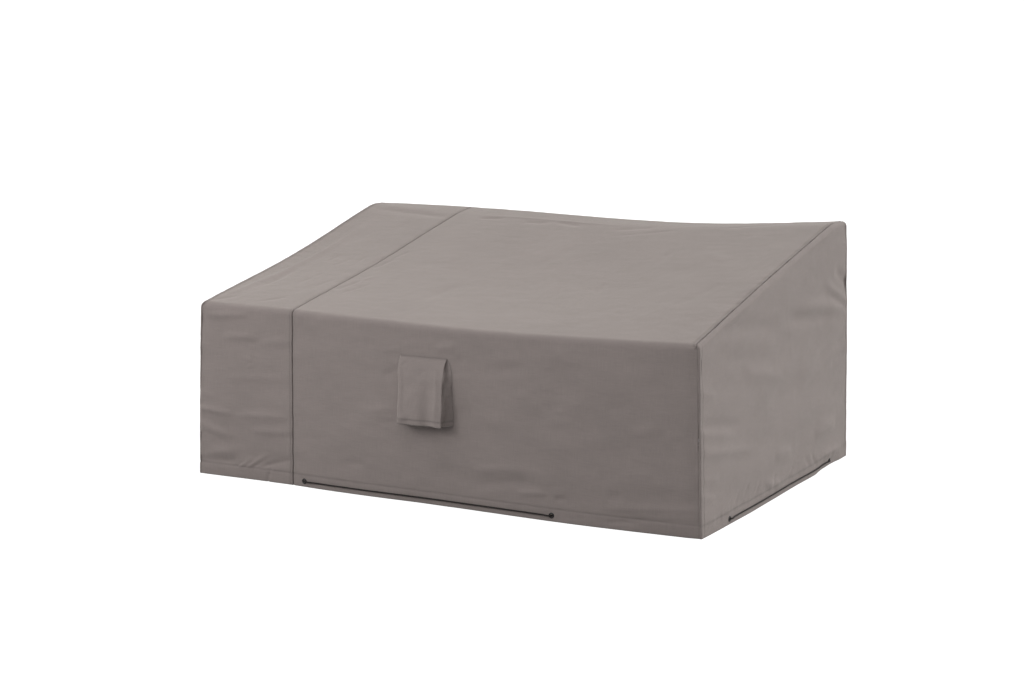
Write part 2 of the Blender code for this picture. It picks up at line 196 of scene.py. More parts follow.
# Creases, each a soft ridge, or a trough where its rise is below zero. On a front they run from
# one (x, up) to another, on the slope between two (x, back), and on a side between two
# (back, up). Bow is how far the middle lies off the straight line, to the left of its way.
Crease = namedtuple("Crease", "a0 b0 a1 b1 bow width rise")
CREASE_FULL = 0.95  # it has its whole rise but near its ends, on a scale of 0 there to 1 half way
FRONT_CREASES = in_metres(
    Crease,
    # The narrow strip's long creases, from its fold down to its hem.
    (20, 511, 210, 524, 2, 11, 4.4),
    (90, 446, 245, 457, 3, 10, 4.4),
    (235, 443, 385, 455, 0, 12, 2.4),
    (100, 322, 365, 343, -4, 12, 2.8),
    (-60, 216, 155, 203, 2, 9, 5.6),
    (130, 203, 375, 214, 2, 11, 3.1),
    (-40, 185, 145, 127, -4, 14, 5.8),
    (200, 160, 378, 171, -4, 12, 4.1),
    (40, 74, 165, 90, 0, 14, 3.4),
    # The small slanting creases above its hem.
    (4, 46, 165, 54, 0, 12, -3.8),
    (135, 29, 194, 64, 0, 4, -1.8),
    (152, 31, 212, 72, 0, 4.2, 2.6),
    (172, 31, 226, 70, 0, 3.6, -1.6),
    (180, 34, 272, 90, 0, 5.2, 3.6),
    (200, 34, 268, 74, 0, 4.4, -2),
    (228, 38, 366, 80, 4, 6, -3.8),
    (270, 38, 366, 52, 2, 5, 1),
    # The short ladder of marks in its middle.
    (198, 424, 228, 421, 1, 4.5, 1.8),
    (196, 407, 218, 400, 1, 4.5, 1.8),
    (194, 385, 216, 384, 1, 4.5, 1.9),
    (192, 364, 217, 363, 1, 5, 2.2),
    # Round the vent hood.
    (868, 477, 952, 488, 2, 13, 3.4),
    (680, 458, 764, 464, 0, 8, 1.8),
    (690, 372, 756, 408, 2, 12, -2.2),
    (630, 268, 752, 280, 3, 12, 2.2),
    (668, 236, 758, 237, 0, 10, -2.2),
    (944, 452, 980, 446, 0, 10, -2),
    # The soft marks to its right.
    (1020, 450, 1200, 466, 4, 17, 2.2),
    (1080, 419, 1190, 458, 2, 15, -2.2),
    (1145, 357, 1200, 367, 0, 13, 1.6),
    (1225, 334, 1310, 342, 0, 15, -2.2),
    (1235, 292, 1350, 300, 2, 15, 2),
    (1440, 355, 1525, 363, 0, 15, -2),
    (1520, 270, 1640, 330, 3, 18, 1.8),
    # Low on the wide strip, above its hem.
    (546, 91, 643, 102, 0, 13, -1.8),
    (1005, 127, 1210, 143, 3, 13, 3.4),
    (995, 64, 1245, 110, 12, 17, -3.1),
    (1155, 72, 1265, 80, 2, 8, 3.8),
    (1285, 69, 1327, 73, 0, 7, -2.7),
    (1450, 96, 1510, 102, 0, 13, -2),
    (1420, 56, 1800, 86, 4, 10, 2.7),
    (1460, 32, 1800, 46, 2, 6, -1.6),
    # In the hem itself: its joins, and the soft wedge beside one of them.
    (260, -20, 282, 56, 0, 3, -4.8),
    (1558, -12, 1560, 50, 0, 2.2, -1.8),
    (1440, 18, 1556, 26, 2, 6, -2.7),
)
SLOPE_CREASES = in_metres(
    Crease,
    # Along the narrow strip's left edge.
    (46, 20, 106, 900, -32, 14, 4.4),
    (118, 190, 128, 400, 0, 9, -3.4),
    (205, 56, 275, 116, 2, 7, -2.2),
    (42, 32, 112, 94, 2, 8, -2.2),
    # The small slanting marks across the narrow strip.
    (124, 240, 145, 345, 2, 6, -1.6),
    (214, 248, 233, 312, 1, 5, -1.3),
    (228, 240, 243, 375, 3, 6, -1.1),
    (297, 236, 317, 324, 1, 5, -1.8),
    (184, 485, 199, 578, 1, 5, -1.1),
    (234, 447, 252, 540, 1, 6, -1.4),
    (298, 450, 288, 568, 2, 6, -1.6),
    (346, 470, 354, 590, 1, 6, -2),
    # Across the seam between the strips.
    (382, 216, 419, 350, 3, 7, -3.4),
    (420, 188, 464, 322, 3, 7, -2.4),
    (381, 452, 401, 574, 2, 7, -3.4),
    (392, 552, 413, 660, 2, 6, -2),
    (404, 300, 440, 400, 2, 9, 1.6),
    # Below the ridge.
    (30, 1018, 392, 1012, 2, 22, -3.4),
    (455, 1019, 570, 1033, 0, 14, -3.4),
    (645, 1008, 745, 1018, 0, 14, -3.2),
    (760, 1030, 870, 1009, 0, 13, -2.8),
    (975, 987, 1136, 1043, 0, 13, -2.4),
    (985, 920, 1240, 1026, 0, 10, -1.4),
    (1345, 1038, 1550, 1100, 0, 13, -2.2),
    (440, 1052, 1040, 1040, 3, 10, 2.2),
    # Faint marks in the middle of the wide strip.
    (1061, 462, 1097, 345, 2, 8, -1.7),
    (1186, 520, 1214, 395, 2, 8, -1.7),
    (1285, 660, 1285, 815, 4, 12, -1.6),
    (1410, 800, 1512, 704, 4, 22, 1.8),
    (700, 180, 760, 420, 8, 22, -1.4),
    (900, 600, 960, 840, 8, 22, -1.3),
    (1520, 300, 1600, 520, 6, 22, -1.5),
)
RIGHT_CREASES = in_metres(
    Crease,
    # The star of creases at the back edge.
    (960, 609, 1240, 490, -2, 14, 8.4),
    (1006, 570, 1220, 488, 0, 14, -6.6),
    (1060, 640, 1220, 560, 0, 16, -6),
    (720, 546, 1210, 482, 16, 22, 6.6),
    (580, 548, 1060, 494, -6, 24, -6.4),
    # Broad soft marks over its middle.
    (120, 545, 600, 480, 4, 32, 3.6),
    (40, 590, 640, 520, 0, 27, -4),
    (110, 498, 560, 428, 0, 22, -3),
    (290, 425, 620, 366, 4, 20, 3.2),
    (860, 360, 1200, 406, 4, 17, -3.4),
    (1020, 326, 1170, 362, 2, 13, -3.8),
    (470, 300, 800, 330, 10, 35, -3.5),
    # From the upright seam.
    (-60, 335, 300, 276, 2, 13, -3.6),
    (-60, 312, 260, 248, 2, 11, 2.6),
    (-60, 258, 430, 184, -4, 14, 3.8),
    (-30, 420, 110, 398, 0, 10, 2.6),
    (-30, 172, 120, 150, 0, 10, 2.9),
    (-30, 120, 100, 98, 0, 9, 2.6),
    # Low, above the cord.
    (530, 130, 685, 116, 2, 20, 3.8),
    (870, 128, 1085, 131, 6, 20, 5.4),
    (440, 62, 600, 34, 2, 12, 4.8),
    (224, 44, 258, 78, 1, 6, -2.2),
    (292, 56, 335, 92, 1, 6, -2.4),
    (380, 44, 424, 80, 1, 6, -2.2),
    (505, 40, 550, 76, 1, 7, -1.9),
    (650, 36, 700, 72, 1, 7, -1.9),
    (780, 80, 850, 30, 1, 7, -2.2),
    (846, 80, 900, 16, 1, 8, -2.9),
    (920, 50, 1150, 34, 3, 14, 5.3),
    (880, -4, 1130, 4, 0, 20, -6.4),
    # The faint line where it was once folded away.
    (636, 660, 700, 350, 4, 4.5, 0.6),
    (697, 390, 716, 50, 0, 4.5, 0.5),
)
LEFT_CREASES = in_metres(
    Crease,
    (100, 420, 520, 470, 6, 26, 3.4),
    (480, 560, 900, 590, 6, 28, -3.6),
    (640, 330, 1240, 380, 8, 22, 3.4),
    (-60, 230, 300, 200, 4, 14, 3.4),
    (-60, 160, 260, 120, 4, 13, 3),
    (820, 140, 1240, 180, 4, 18, 3.2),
    (300, 60, 420, 90, 2, 10, 2),
    (560, 50, 640, 85, 2, 8, -2),
    (900, 44, 1060, 60, 2, 12, 2.6),
)
BACK_CREASES = in_metres(
    Crease,
    (120, 600, 620, 560, 10, 30, 4),
    (500, 300, 1050, 340, 12, 34, -4),
    (1150, 520, 1800, 430, 10, 30, 4.2),
    (-60, 240, 420, 200, 6, 26, 4),
    (1250, 200, 1800, 160, 6, 26, 3.6),
    (700, 110, 1000, 130, 4, 24, 3),
)

# Waves too small and too many to place by hand: how long they are along and up the cloth, how
# high, and which pattern they follow.
Waves = namedtuple("Waves", "along up height seed")
FRONT_WAVES = (Waves(0.130, 0.050, 0.0015, 3), Waves(0.050, 0.026, 0.00050, 4))
SLOPE_WAVES = (Waves(0.070, 0.110, 0.0005, 5), Waves(0.028, 0.055, 0.00025, 6))
SIDE_WAVES = (Waves(0.230, 0.070, 0.0024, 7), Waves(0.090, 0.032, 0.00060, 8))
WAVE_TURN = 0.7  # how far a slower pattern pushes the waves aside, in their own lengths
SLOWER = 3
SLOWER_SEED = 50
NOISE_SIZE = 97  # hills each way before a pattern starts again
PUCKER_SIZE = 0.024
PUCKER_REACH = 0.014
PUCKER_HEIGHT = 0.0008
FINER = 2.3  # smaller puckers among them are this much finer
FINER_HEIGHT = 0.5  # and this much as high
HEM_PUCKER = 2.2  # the puckers along a side panel's hem are this much higher
EDGE_PUCKER = 3.0  # and those on the front beside a side panel are this much higher
PuckerSeeds = namedtuple(
    "PuckerSeeds", "strip_seam strip_edge strip_hem side_edge side_hem side_upright"
)
PUCKERS = PuckerSeeds(21, 22, 24, 31, 33, 35)  # a side panel's are one higher on the right

# The vent hood. It is sewn on where the model's is, but its face lies up to 9 mm further right and up
# to 3 mm closer in, with a deeper trough.
HOOD_MIDDLE = 0.8425
HOOD_TOP = 0.449
HOOD_HEIGHT = 0.200
HOOD_SEAM = 0.0012
HOOD_SWELL = 0.003
HOOD_TROUGH = 0.009
HOOD_TROUGH_AT = 0.66
HOOD_TROUGH_WIDTH = 0.14
HOOD_HEM = 0.016
HOOD_TOPSTITCH = 0.0025
HOOD_STITCH_SINK = 0.0006
HOOD_STITCH_REACH = 0.0018
HOOD_CALM = 0.12  # its creases fade out over this share of the way down from its seam
LEFT_GUSSET = 0.6  # the left gusset folds in this much as far
HoodRow = namedtuple("HoodRow", "down base_left base_right face_left face_right proud")
HOOD_ROWS = in_metres(
    HoodRow,
    (0.00, -86, 76.5, -85, 75.5, 3.2),
    (0.08, -87, 84.5, -84.5, 73.5, 11),
    (0.17, -89, 90, -82, 73.5, 19),
    (0.50, -92, 94.5, -71.5, 77.5, 34),
    (0.80, -94, 97.5, -68, 81, 44),
    (1.00, -95, 99.5, -66, 83, 47),
)
# Its creases run between two (along its face from the left, up from its hem).
HOOD_CREASES = in_metres(
    Crease,
    (8, -10, 8, 210, 1, 7, 2.1),
    (6, 164, 30, 184, 1, 5, -1.6),
    (128, 6, 132, 180, 2, 7, 2.1),
    (-10, -4, 34, 30, 2, 14, 4.4),
    (40, 120, 100, 170, 3, 12, -1.6),
    (20, 60, 70, 110, 3, 14, 1.3),
)
# The gussets fold in behind the face: how far at shares of the way down.
GussetFold = namedtuple("GussetFold", "down inward wave")
GUSSET_FOLDS = in_metres(
    GussetFold,
    (0.00, 0, 0),
    (0.06, 9, 0),
    (0.14, 11, 2),
    (0.24, 4, 3),
    (0.45, 5, -3),
    (0.70, 4, 3),
    (1.00, 6, -2),
)

# An eyelet's section, turned about its axis, as radius and out from the cloth.
Turn = namedtuple("Turn", "radius out")
EYELET_TURNS = in_metres(
    Turn,
    (4.6, 0.4),
    (4.9, 1.2),
    (5.7, 1.8),
    (6.8, 1.9),
    (8, 1.5),
    (8.8, 0.8),
    (9, 0.1),
    (8.4, -0.1),
    (5.4, -0.2),
    (5.4, -4),
    (8, -4.1),
    (8, -5),
    (6.6, -5.6),
    (5, -5.3),
    (4.5, -4.4),
)
EYELET_STEPS = 48
HOLE_RADIUS = 0.0082  # the cloth is open inside this radius, under the flange
HOLE_DEPTH = 3 * HOLE_RADIUS  # and this far in
REACH = 0.2  # a line that feels for the cloth starts this far outside it
FRONT_EYELETS = (0.406, 1.276)
SIDE_EYELETS = (0.183, 1.021)

# The hems with a cord: the cloth, its two eyelets, the way it faces, and what its ends are called.
Hem = namedtuple("Hem", "name piece eyelets way ends")
HEMS = (
    Hem("front", "wide_strip", FRONT_EYELETS, (0, -1, 0), ("left", "right")),
    Hem("right", "right_side", SIDE_EYELETS, (1, 0, 0), ("fore", "aft")),
    Hem("left", "left_side", SIDE_EYELETS, (-1, 0, 0), ("fore", "aft")),
)

# Each cloth laid flat with its hems and seam allowances: its width and length, and its area where
# it is less than the two multiplied.
FLATS = {
    "wide_strip": ((1.39, 2.72), None),
    "narrow_strip": ((0.38, 2.72), None),
    "right_side": ((1.22, 0.84), 0.84),
    "left_side": ((1.22, 0.84), 0.84),
    "vent_hood": ((0.28, 0.24), 0.048),
}

# A cord's way at each end, as in the model: its thickness there, and how far along and out it is.
CordStop = namedtuple("CordStop", "thick along out")
CORD_END = in_metres(
    CordStop,
    (1.2, -5, -14.8),
    (2.3, -4.5, -12.8),
    (2.5, -3.5, -9.3),
    (2.1, -2.6, -6.1),
    (1.0, -2, -4.6),
    (1.0, 0.2, 0),
    (1.0, 3.2, 4.6),
    (1.0, 8.5, 6.6),
    (1.0, 16, 6.2),
    (1.0, 30, 4.2),
    (1.0, 50, 3.4),
)
CORD_REST = 0.0030
CORD_RUN_POINTS = 26
CORD_STEPS = 5  # points on the smooth curve for each stretch between two stops
CORD_SIDES = 14
KNOT_ROWS = 20  # of a cord's path, from its very end
KNOT_LUMPS = 0.10
KNOT_TURNS = 3

# Stitches.
STITCH = 0.0032
STITCH_STEP = 0.0042
STITCH_RADIUS = 0.00036
STITCH_SIDES = 5
STITCH_PROUD = 0.0002
STITCH_SINK = 0.0012  # how far the cloth is drawn in along a row of stitches
STITCH_REACH = 0.0022
StitchRing = namedtuple("StitchRing", "share size proud")
STITCH_RINGS = (StitchRing(0.0, 0.3, -1.6), StitchRing(0.5, 1.0, 1.0), StitchRing(1.0, 0.3, -1.6))

# The camera stands where the photograph was taken from.
CAMERA_AT = (3.230, -6.2208, 1.6739)
CAMERA_TILT = 79.768
CAMERA_TURN = 27.715
CAMERA_LENS = 77.92
CAMERA_SENSOR = 36.0

# What the pieces are made of. A pattern is a noise's scale, detail and roughness, and its tones are
# what it multiplies a colour by at its two ends. Heights are those of the bumps.
CLOTH_COLOUR = (0.213, 0.181, 0.171)
THREAD_COLOUR = (0.150, 0.128, 0.118)
EYELET_COLOUR = (0.012, 0.011, 0.011)
CORD_COLOUR = (0.017, 0.013, 0.011)
WHITE = (1.0, 1.0, 1.0, 1.0)
YARN = 0.0009
STREAKS = 600.0  # streaks of yarn in a metre across them
STREAK_BREAKS = 22.0  # and changes in a metre along one
DRAWN_OUT = 0.45  # its mottling and crumple are drawn out across it, by this share
Pattern = namedtuple("Pattern", "scale detail roughness")
STREAK = Pattern(1.0, 2.0, 0.5)
MOTTLE = Pattern(11.0, 5.0, 0.65)
CRUMPLE = Pattern(30.0, 4.0, 0.55)
TWIST = Pattern(1800.0, 2.0, 0.5)
DUST = Pattern(60.0, 4.0, 0.6)
GRAIN = Pattern(1400.0, 2.0, 0.5)
FLECK = Pattern(900.0, 2.0, 0.5)
FLOOR_PATTERN = Pattern(1.5, 2.0, 0.5)
NOISE = (0.3, 0.7)  # the values that most of a noise lies between
TWO_NOISES = (0.7, 1.3)  # and that the sum of two lies between
WAVE = (-1.0, 1.0)
MOTTLE_TONES = (0.94, 1.06)
YARN_TONES = (0.94, 1.06)
WEAVE_TONES = (0.965, 1.035)
# the cloth's colour is multiplied by this where its painted shade, along seams, stitches and edges, is
# full
PAINTED_SHADE_TONE = 0.78
CRUMPLE_HEIGHT = 0.0030
WEAVE_HEIGHT = 0.00012
TWIST_HEIGHT = 0.0001
GRAIN_HEIGHT = 0.00004
BRAID_HEIGHT = 0.0004
STRANDS = 4.0  # in each of the two sets that cross round the cord
STRAND_PITCH = 0.010

# The studio. Each sun is soft and plain: which way its light comes from, from the front round by
# the right, how high, how strong and how soft. The lamp stands in front on the left. The camera
# sees the world and the floor as white, and they throw little light on the cover.
Sun = namedtuple("Sun", "name turn height strength softness")
SUNS = (
    Sun("behind", 150.0, 40.0, 0.78, 50.0),
    Sun("right", 120.0, 30.0, 2.32, 50.0),
    Sun("front", 45.0, 35.0, 0.33, 50.0),
    Sun("front_left", -40.0, 50.0, 1.80, 90.0),
)
LAMP_AT = (-1.4, -2.6, 1.5)
LAMP_TO = (-0.4, -0.6, 0.3)
LAMP_SIZE = 1.0
LAMP_POWER = 23.5
WORLD_STRENGTH = 0.1
WORLD_SEEN = 1.0
FLOOR_COLOUR = 0.42
FLOOR_GLOW = 0.80
FLOOR_SIZE = 400.0
FLOOR_DROP = 0.0006


def smooth(rows, at):
    """The other columns of a table at values of its first, on a smooth curve through its rows."""
    table = np.array(rows)
    keys, values = table[:, 0], table[:, 1:]
    slopes = np.gradient(values, keys, axis=0)
    at = np.atleast_1d(at)
    i = np.clip(np.searchsorted(keys, at) - 1, 0, len(keys) - 2)
    span = keys[i + 1] - keys[i]
    t = np.clip((at - keys[i]) / span, 0.0, 1.0)
    hold = ((1 + 2 * t) * (1 - t) ** 2)[:, None]
    lead = (t * (1 - t) ** 2 * span)[:, None]
    trail = (t * t * (t - 1) * span)[:, None]
    return hold * values[i] + (1 - hold) * values[i + 1] + lead * slopes[i] + trail * slopes[i + 1]


def near(off, width):
    """1 on a line, and falling softly to 0 off it."""
    return np.exp(-((off / width) ** 2))


def beside(off, width):
    """1 at an edge, and falling at once to 0 off it."""
    return np.exp(-np.abs(off) / width)


def spread(length, spacing, close):
    """Places from 0 to length, close together at the close places, which are among them."""
    places = [0.0]
    stops = sorted({0.0, length, *close})
    close = np.array(sorted(close))
    for start, end in zip(stops, stops[1:]):
        fine = np.linspace(start, end, SPREAD_STEPS)
        off = np.abs(fine[:, None] - close).min(1)
        gap = spacing.coarse - (spacing.coarse - spacing.fine) * near(off, spacing.reach)
        steps = np.diff(fine) * 2 / (gap[1:] + gap[:-1])
        count = np.concatenate([[0.0], np.cumsum(steps)])
        parts = max(1, math.ceil(count[-1]))
        places.extend(np.interp(np.linspace(0, count[-1], parts + 1)[1:], count, fine))
    return np.array(places)


def noise(a, b, seed):
    """Smooth random hills, about 1 wide and from -1 to 1 high."""
    hills = np.random.RandomState(seed).uniform(-1, 1, (NOISE_SIZE, NOISE_SIZE))
    ia, ib = np.floor(a).astype(int), np.floor(b).astype(int)
    fa, fb = (f * f * f * (f * (f * 6 - 15) + 10) for f in (a - ia, b - ib))

    def row(ib):
        left, right = (hills[place % NOISE_SIZE, ib % NOISE_SIZE] for place in (ia, ia + 1))
        return left * (1 - fa) + right * fa

    return row(ib) * (1 - fb) + row(ib + 1) * fb


def waved(a, b, waves):
    """The height of the small waves at places on the cloth."""
    total = np.zeros(a.shape)
    for wave in waves:
        slow = a / wave.along / SLOWER, b / wave.up / SLOWER
        turn = WAVE_TURN * noise(*slow, wave.seed + SLOWER_SEED)
        total += wave.height * noise(a / wave.along + turn, b / wave.up - turn, wave.seed)
    return total


def creased(a, b, creases):
    """How far creases lift the cloth at places on it."""
    total = np.zeros(a.shape)
    for crease in creases:
        run, rise = crease.a1 - crease.a0, crease.b1 - crease.b0
        length = math.hypot(run, rise)
        share = np.clip(((a - crease.a0) * run + (b - crease.b0) * rise) / length**2, 0.0, 1.0)
        aside = ((b - crease.b0) * run - (a - crease.a0) * rise) / length
        hump = 4 * share * (1 - share)
        full = smooth_step(hump, 0.0, CREASE_FULL)
        total += crease.rise * full * near(aside - crease.bow * hump, crease.width)
    return total


def puckered(run, off, seed):
    """The puckers that a row of stitches draws, at places along it and off it."""
    level = np.full_like(run, 0.5)
    ripple = noise(run / PUCKER_SIZE, level, seed)
    ripple = ripple + FINER_HEIGHT * noise(run / PUCKER_SIZE * FINER, level, seed + 1)
    return PUCKER_HEIGHT * ripple * beside(off, PUCKER_REACH)


def stitched(off):
    """How far the cloth is drawn in at a distance off a row of stitches."""
    return -STITCH_SINK * near(off, STITCH_REACH)


def seamed(off):
    """How far the cloth dips into a seam at a distance off it."""
    return -SEAM_DEPTH * beside(off, SEAM_WIDTH)


def layered(off, stitches=TOPSTITCH):
    """How far the layers inside lift the cloth between a seam and the stitches beside it."""
    return SEAM_LAYERS * (1 - smooth_step(off, stitches - LAYER_STEP, stitches + LAYER_STEP))


def smooth_step(value, low, high):
    """From 0 at low to 1 at high, with soft ends."""
    t = np.clip((value - low) / (high - low), 0, 1)
    return t * t * (3 - 2 * t)


def on_line(name, across):
    """Points of one of the five lines, as x, back and up."""
    line = LINES[name]
    back, up = smooth(line.stops, across).T
    x = line.left_in + across * (WIDTH - line.left_in - line.right_in)
    return np.stack([x, line.back + back, line.up + up], 1)


def straight(start, end, shares):
    """Points on the straight ways from starts to ends."""
    return start[:, None] + (end - start)[:, None] * shares[None, :, None]


def bend(before, corner, after, reach, shares):
    """Soft bends that leave both straight runs at reach from their corners."""

    def towards(point):
        way = point - corner
        return corner + way / np.linalg.norm(way, axis=1, keepdims=True) * reach

    first, last = towards(before), towards(after)
    t = shares[None, :, None]
    return first[:, None] * (1 - t) ** 2 + 2 * corner[:, None] * t * (1 - t) + last[:, None] * t**2


# A section's rows, as shares of its stretches.
FACE_RUN = FRONT_HEIGHT - FOLD_ROUND
SLOPE_RUN = math.hypot(DEPTH - RIDGE_DEPTH, BACK_HEIGHT - FRONT_HEIGHT) - FOLD_ROUND - CREASE_ROUND
TOP_RUN = RIDGE_DEPTH - CREASE_ROUND - RIDGE_ROUND
BACK_RUN = BACK_HEIGHT - RIDGE_ROUND
HALF_BEND = 0.5 - 0.5 * np.linspace(1, 0, BEND_ROWS // 2 + 1) ** BEND_CROWDING
BEND = np.concatenate([HALF_BEND, 1 - HALF_BEND[-2::-1]])
Rows = namedtuple("Rows", "face slope top back")
STRIP_ROWS = Rows(
    spread(FACE_RUN, FACE_UP, [0.0, HEM, FACE_RUN]) / FACE_RUN,
    spread(SLOPE_RUN, SLOPE_UP, [0.0, SLOPE_RUN]) / SLOPE_RUN,
    np.linspace(0, 1, math.ceil(TOP_RUN / TOP_GAP) + 1),
    1 - spread(BACK_RUN, BACK_UP, [0.0, HEM, BACK_RUN])[::-1] / BACK_RUN,
)
SIDE_FACE = spread(FACE_RUN, SIDE_UP, [0.0, HEM, FACE_RUN]) / FACE_RUN
SIDE_ROWS = Rows(SIDE_FACE, STRIP_ROWS.slope, STRIP_ROWS.top, 1 - SIDE_FACE[::-1])


def section(across, rows):
    """The cloth's smooth outer lines, from the front hem over the top to the back hem."""
    across = np.atleast_1d(across).astype(float)
    lines = [on_line(name, across) for name in LINES]
    slope_sag, front_swell = smooth(SAGS, across).T
    rounds = (FOLD_ROUND, CREASE_ROUND, RIDGE_ROUND)
    bends = [bend(*lines[i : i + 3], reach, BEND) for i, reach in enumerate(rounds)]
    starts = [lines[0], *(curve[:, -1] for curve in bends)]
    ends = [*(curve[:, 0] for curve in bends), lines[-1]]
    face, slope, top, back = (straight(*run) for run in zip(starts, ends, rows))
    face[:, :, 1] -= front_swell[:, None] * np.sin(math.pi * rows.face)
    slope[:, :, 2] -= slope_sag[:, None] * np.sin(math.pi * rows.slope) ** SAG_SHARPNESS
    back[:, :, 1] += BACK_SWELL * np.sin(math.pi * rows.back)
    runs = (face, bends[0], slope, bends[1], top, bends[2])
    return np.concatenate([run[:, :-1] for run in runs] + [back], 1)


def section_parts(rows):
    """How much each row of a section is part of the front, the top and the back, adding up to 1."""
    count = len(rows.face) + len(rows.slope) + len(rows.top) + len(rows.back) + 3 * BEND_ROWS - 3
    row = np.arange(count)
    front = np.clip((len(rows.face) - 1 + BEND_ROWS - row) / BEND_ROWS, 0, 1)
    back = np.clip((row - (count - len(rows.back) - BEND_ROWS)) / BEND_ROWS, 0, 1)
    return front, 1 - front - back, back


def turn_radius(rows):
    """The radius by which a side panel turns over its edge, at each row of a section."""
    top = section_parts(rows)[1]
    return UPRIGHT_TURN + (SLANTED_TURN - UPRIGHT_TURN) * top


def unit(ways):
    return ways / np.maximum(np.linalg.norm(ways, axis=-1, keepdims=True), TINY)


def facing(points):
    """The way a grid of points faces at each of them."""
    return unit(np.cross(np.gradient(points, axis=0), np.gradient(points, axis=1)))


def run_lengths(points, axis):
    """How far along its line each point of a grid is."""
    steps = np.linalg.norm(np.diff(points, axis=axis), axis=2)
    start = np.zeros_like(np.take(steps, [0], axis))
    return np.concatenate([start, np.cumsum(steps, axis)], axis)


# A cloth's grid, with the way it faces, its weave's own lengths across and up, and its painted shade.
Cloth = namedtuple("Cloth", "points ways weave worn")


def make_cloth(points, lift, worn):
    """A grid lifted along the way it faces, with what its looks need."""
    weave = np.stack([run_lengths(points, 0), run_lengths(points, 1)], 2)
    lifted = points + facing(points) * lift[:, :, None]
    return Cloth(lifted, facing(lifted), weave, worn)


def make_strip(first, last, places):
    """A main strip between two shares of the width, with its columns at places across it."""
    points = section(first + (last - first) * places / places[-1], STRIP_ROWS)
    end = 1 if first else 0
    radius = turn_radius(STRIP_ROWS)
    start, stop = points[0, :, 0].copy(), points[-1, :, 0].copy()
    left = start if first else start + radius
    right = stop if last < 1.0 else stop - radius
    points[:, :, 0] = left + (right - left) * (points[:, :, 0] - start) / (stop - start)
    x, back, up = np.moveaxis(points, 2, 0)
    on_front, on_top, on_back = section_parts(STRIP_ROWS)
    over = run_lengths(points, 1)
    from_left, from_right = x - left, right - x
    to_hem = np.minimum(over, over[:, -1:] - over)
    lift = on_front * (creased(x, up, FRONT_CREASES) + waved(x, up, FRONT_WAVES))
    lift += on_top * (creased(x, back, SLOPE_CREASES) + waved(x, back, SLOPE_WAVES))
    lift += on_back * (creased(x, up, BACK_CREASES) + waved(x, up, SIDE_WAVES))
    lift += stitched(to_hem - HEM) + puckered(x, to_hem - HEM, PUCKERS.strip_hem)
    # Painted shade: darker along the hem's stitches and lowest edge, in the seams and along the
    # topstitching.
    worn = HEM_SHADE * near(to_hem - HEM, SHADE_REACH) + beside(to_hem, SHADE_REACH)
    if first:
        outer, seam = from_right, from_left
    else:
        outer, seam = from_left, from_right
        lift += layered(seam) + stitched(seam - TOPSTITCH)
        worn += STITCH_SHADE * near(seam - TOPSTITCH, SHADE_REACH)
    deep = UPRIGHT_SEAMS[end] + (1 - UPRIGHT_SEAMS[end]) * on_top
    lift += seamed(seam) + seamed(outer) * deep
    worn += beside(seam, SEAM_SHADE_REACH) + deep * beside(outer, SEAM_SHADE_REACH)
    lift += puckered(over, seam, PUCKERS.strip_seam)
    lift += EDGE_PUCKER * puckered(over, outer, PUCKERS.strip_edge)
    lift += on_top * (layered(outer) + stitched(outer - TOPSTITCH))
    lift -= (1 - on_top) * EDGE_BACKS[end] * near(outer, EDGE_REACH)
    worn += on_top * STITCH_SHADE * near(outer - TOPSTITCH, SHADE_REACH)
    return make_cloth(points, lift, worn)


def near_edge(points, edge):
    """How far points are from an edge in a side panel's plane, and where along its rows that is."""
    ways = np.diff(edge[:, 1:], axis=0)
    off = points[:, None, 1:] - edge[:-1, 1:]
    share = np.clip((off * ways).sum(2) / (ways**2).sum(1), 0, 1)
    gap = np.linalg.norm(off - ways * share[:, :, None], axis=2)
    best = gap.argmin(1)
    place = np.arange(len(points))
    return gap[place, best], best + share[place, best]


def side_places():
    """The columns of a side panel, as places behind its front edge."""
    turn = UPRIGHT_TURN * (1 - np.cos(np.linspace(0, math.pi / 2, TURN_STEPS + 1)))
    close = [UPRIGHT_TURN, UPRIGHT_TOPSTITCH, *SIDE_EYELETS]
    close += [DEPTH - UPRIGHT_TOPSTITCH, DEPTH - UPRIGHT_TURN]
    places = spread(DEPTH, SIDE_BACK, close)
    places = places[(places > UPRIGHT_TURN - TINY) & (places < DEPTH - UPRIGHT_TURN + TINY)]
    return np.concatenate([turn[:-1], places, DEPTH - turn[-2::-1]])


def side_surface(edge):
    """A side panel between its edges, and each place's share of the way back and of the way up."""
    upright = len(SIDE_FACE) - 1 + BEND_ROWS // 2
    front, top = edge[: upright + 1], edge[upright : len(edge) - upright]
    back = edge[::-1][: upright + 1]
    s = (side_places() / DEPTH)[:, None, None]
    t = ((front[:, 2] - front[0, 2]) / (front[-1, 2] - front[0, 2]))[None, :, None]
    top_back = top[0, 1] + (top[-1, 1] - top[0, 1]) * s[:, 0, 0]
    top_line = np.stack([np.interp(top_back, top[:, 1], top[:, i]) for i in range(3)], 1)[:, None]
    flat_top = top[0] * (1 - s) + top[-1] * s
    points = front * (1 - s) + back * s + (top_line - flat_top) * t
    return points, s[:, :, 0], t[:, :, 0]


def round_edge(points, edge, outward):
    """Turns a side panel's points over its edge. Gives how far each one is from the edge over the
    turn, how far along the edge, and how much the edge there is the slanted one."""
    radii = turn_radius(SIDE_ROWS)
    on_top = section_parts(SIDE_ROWS)[1]
    edge_run = run_lengths(edge[None], 1)[0]
    rows = np.arange(len(edge))
    arc, run, slanted = (np.zeros(points.shape[:2]) for _ in range(3))
    for column, line in enumerate(points):
        gap, row = near_edge(line, edge)
        radius = np.interp(row, rows, radii)
        inside = np.clip(1 - gap / radius, 0, 1)
        arc[column] = radius * (math.pi / 2 - np.arcsin(inside)) + np.maximum(gap - radius, 0)
        run[column] = np.interp(row, rows, edge_run)
        slanted[column] = np.interp(row, rows, on_top)
        line[:, 0] -= outward * radius * (1 - np.sqrt(1 - inside**2))
    return arc, run, slanted


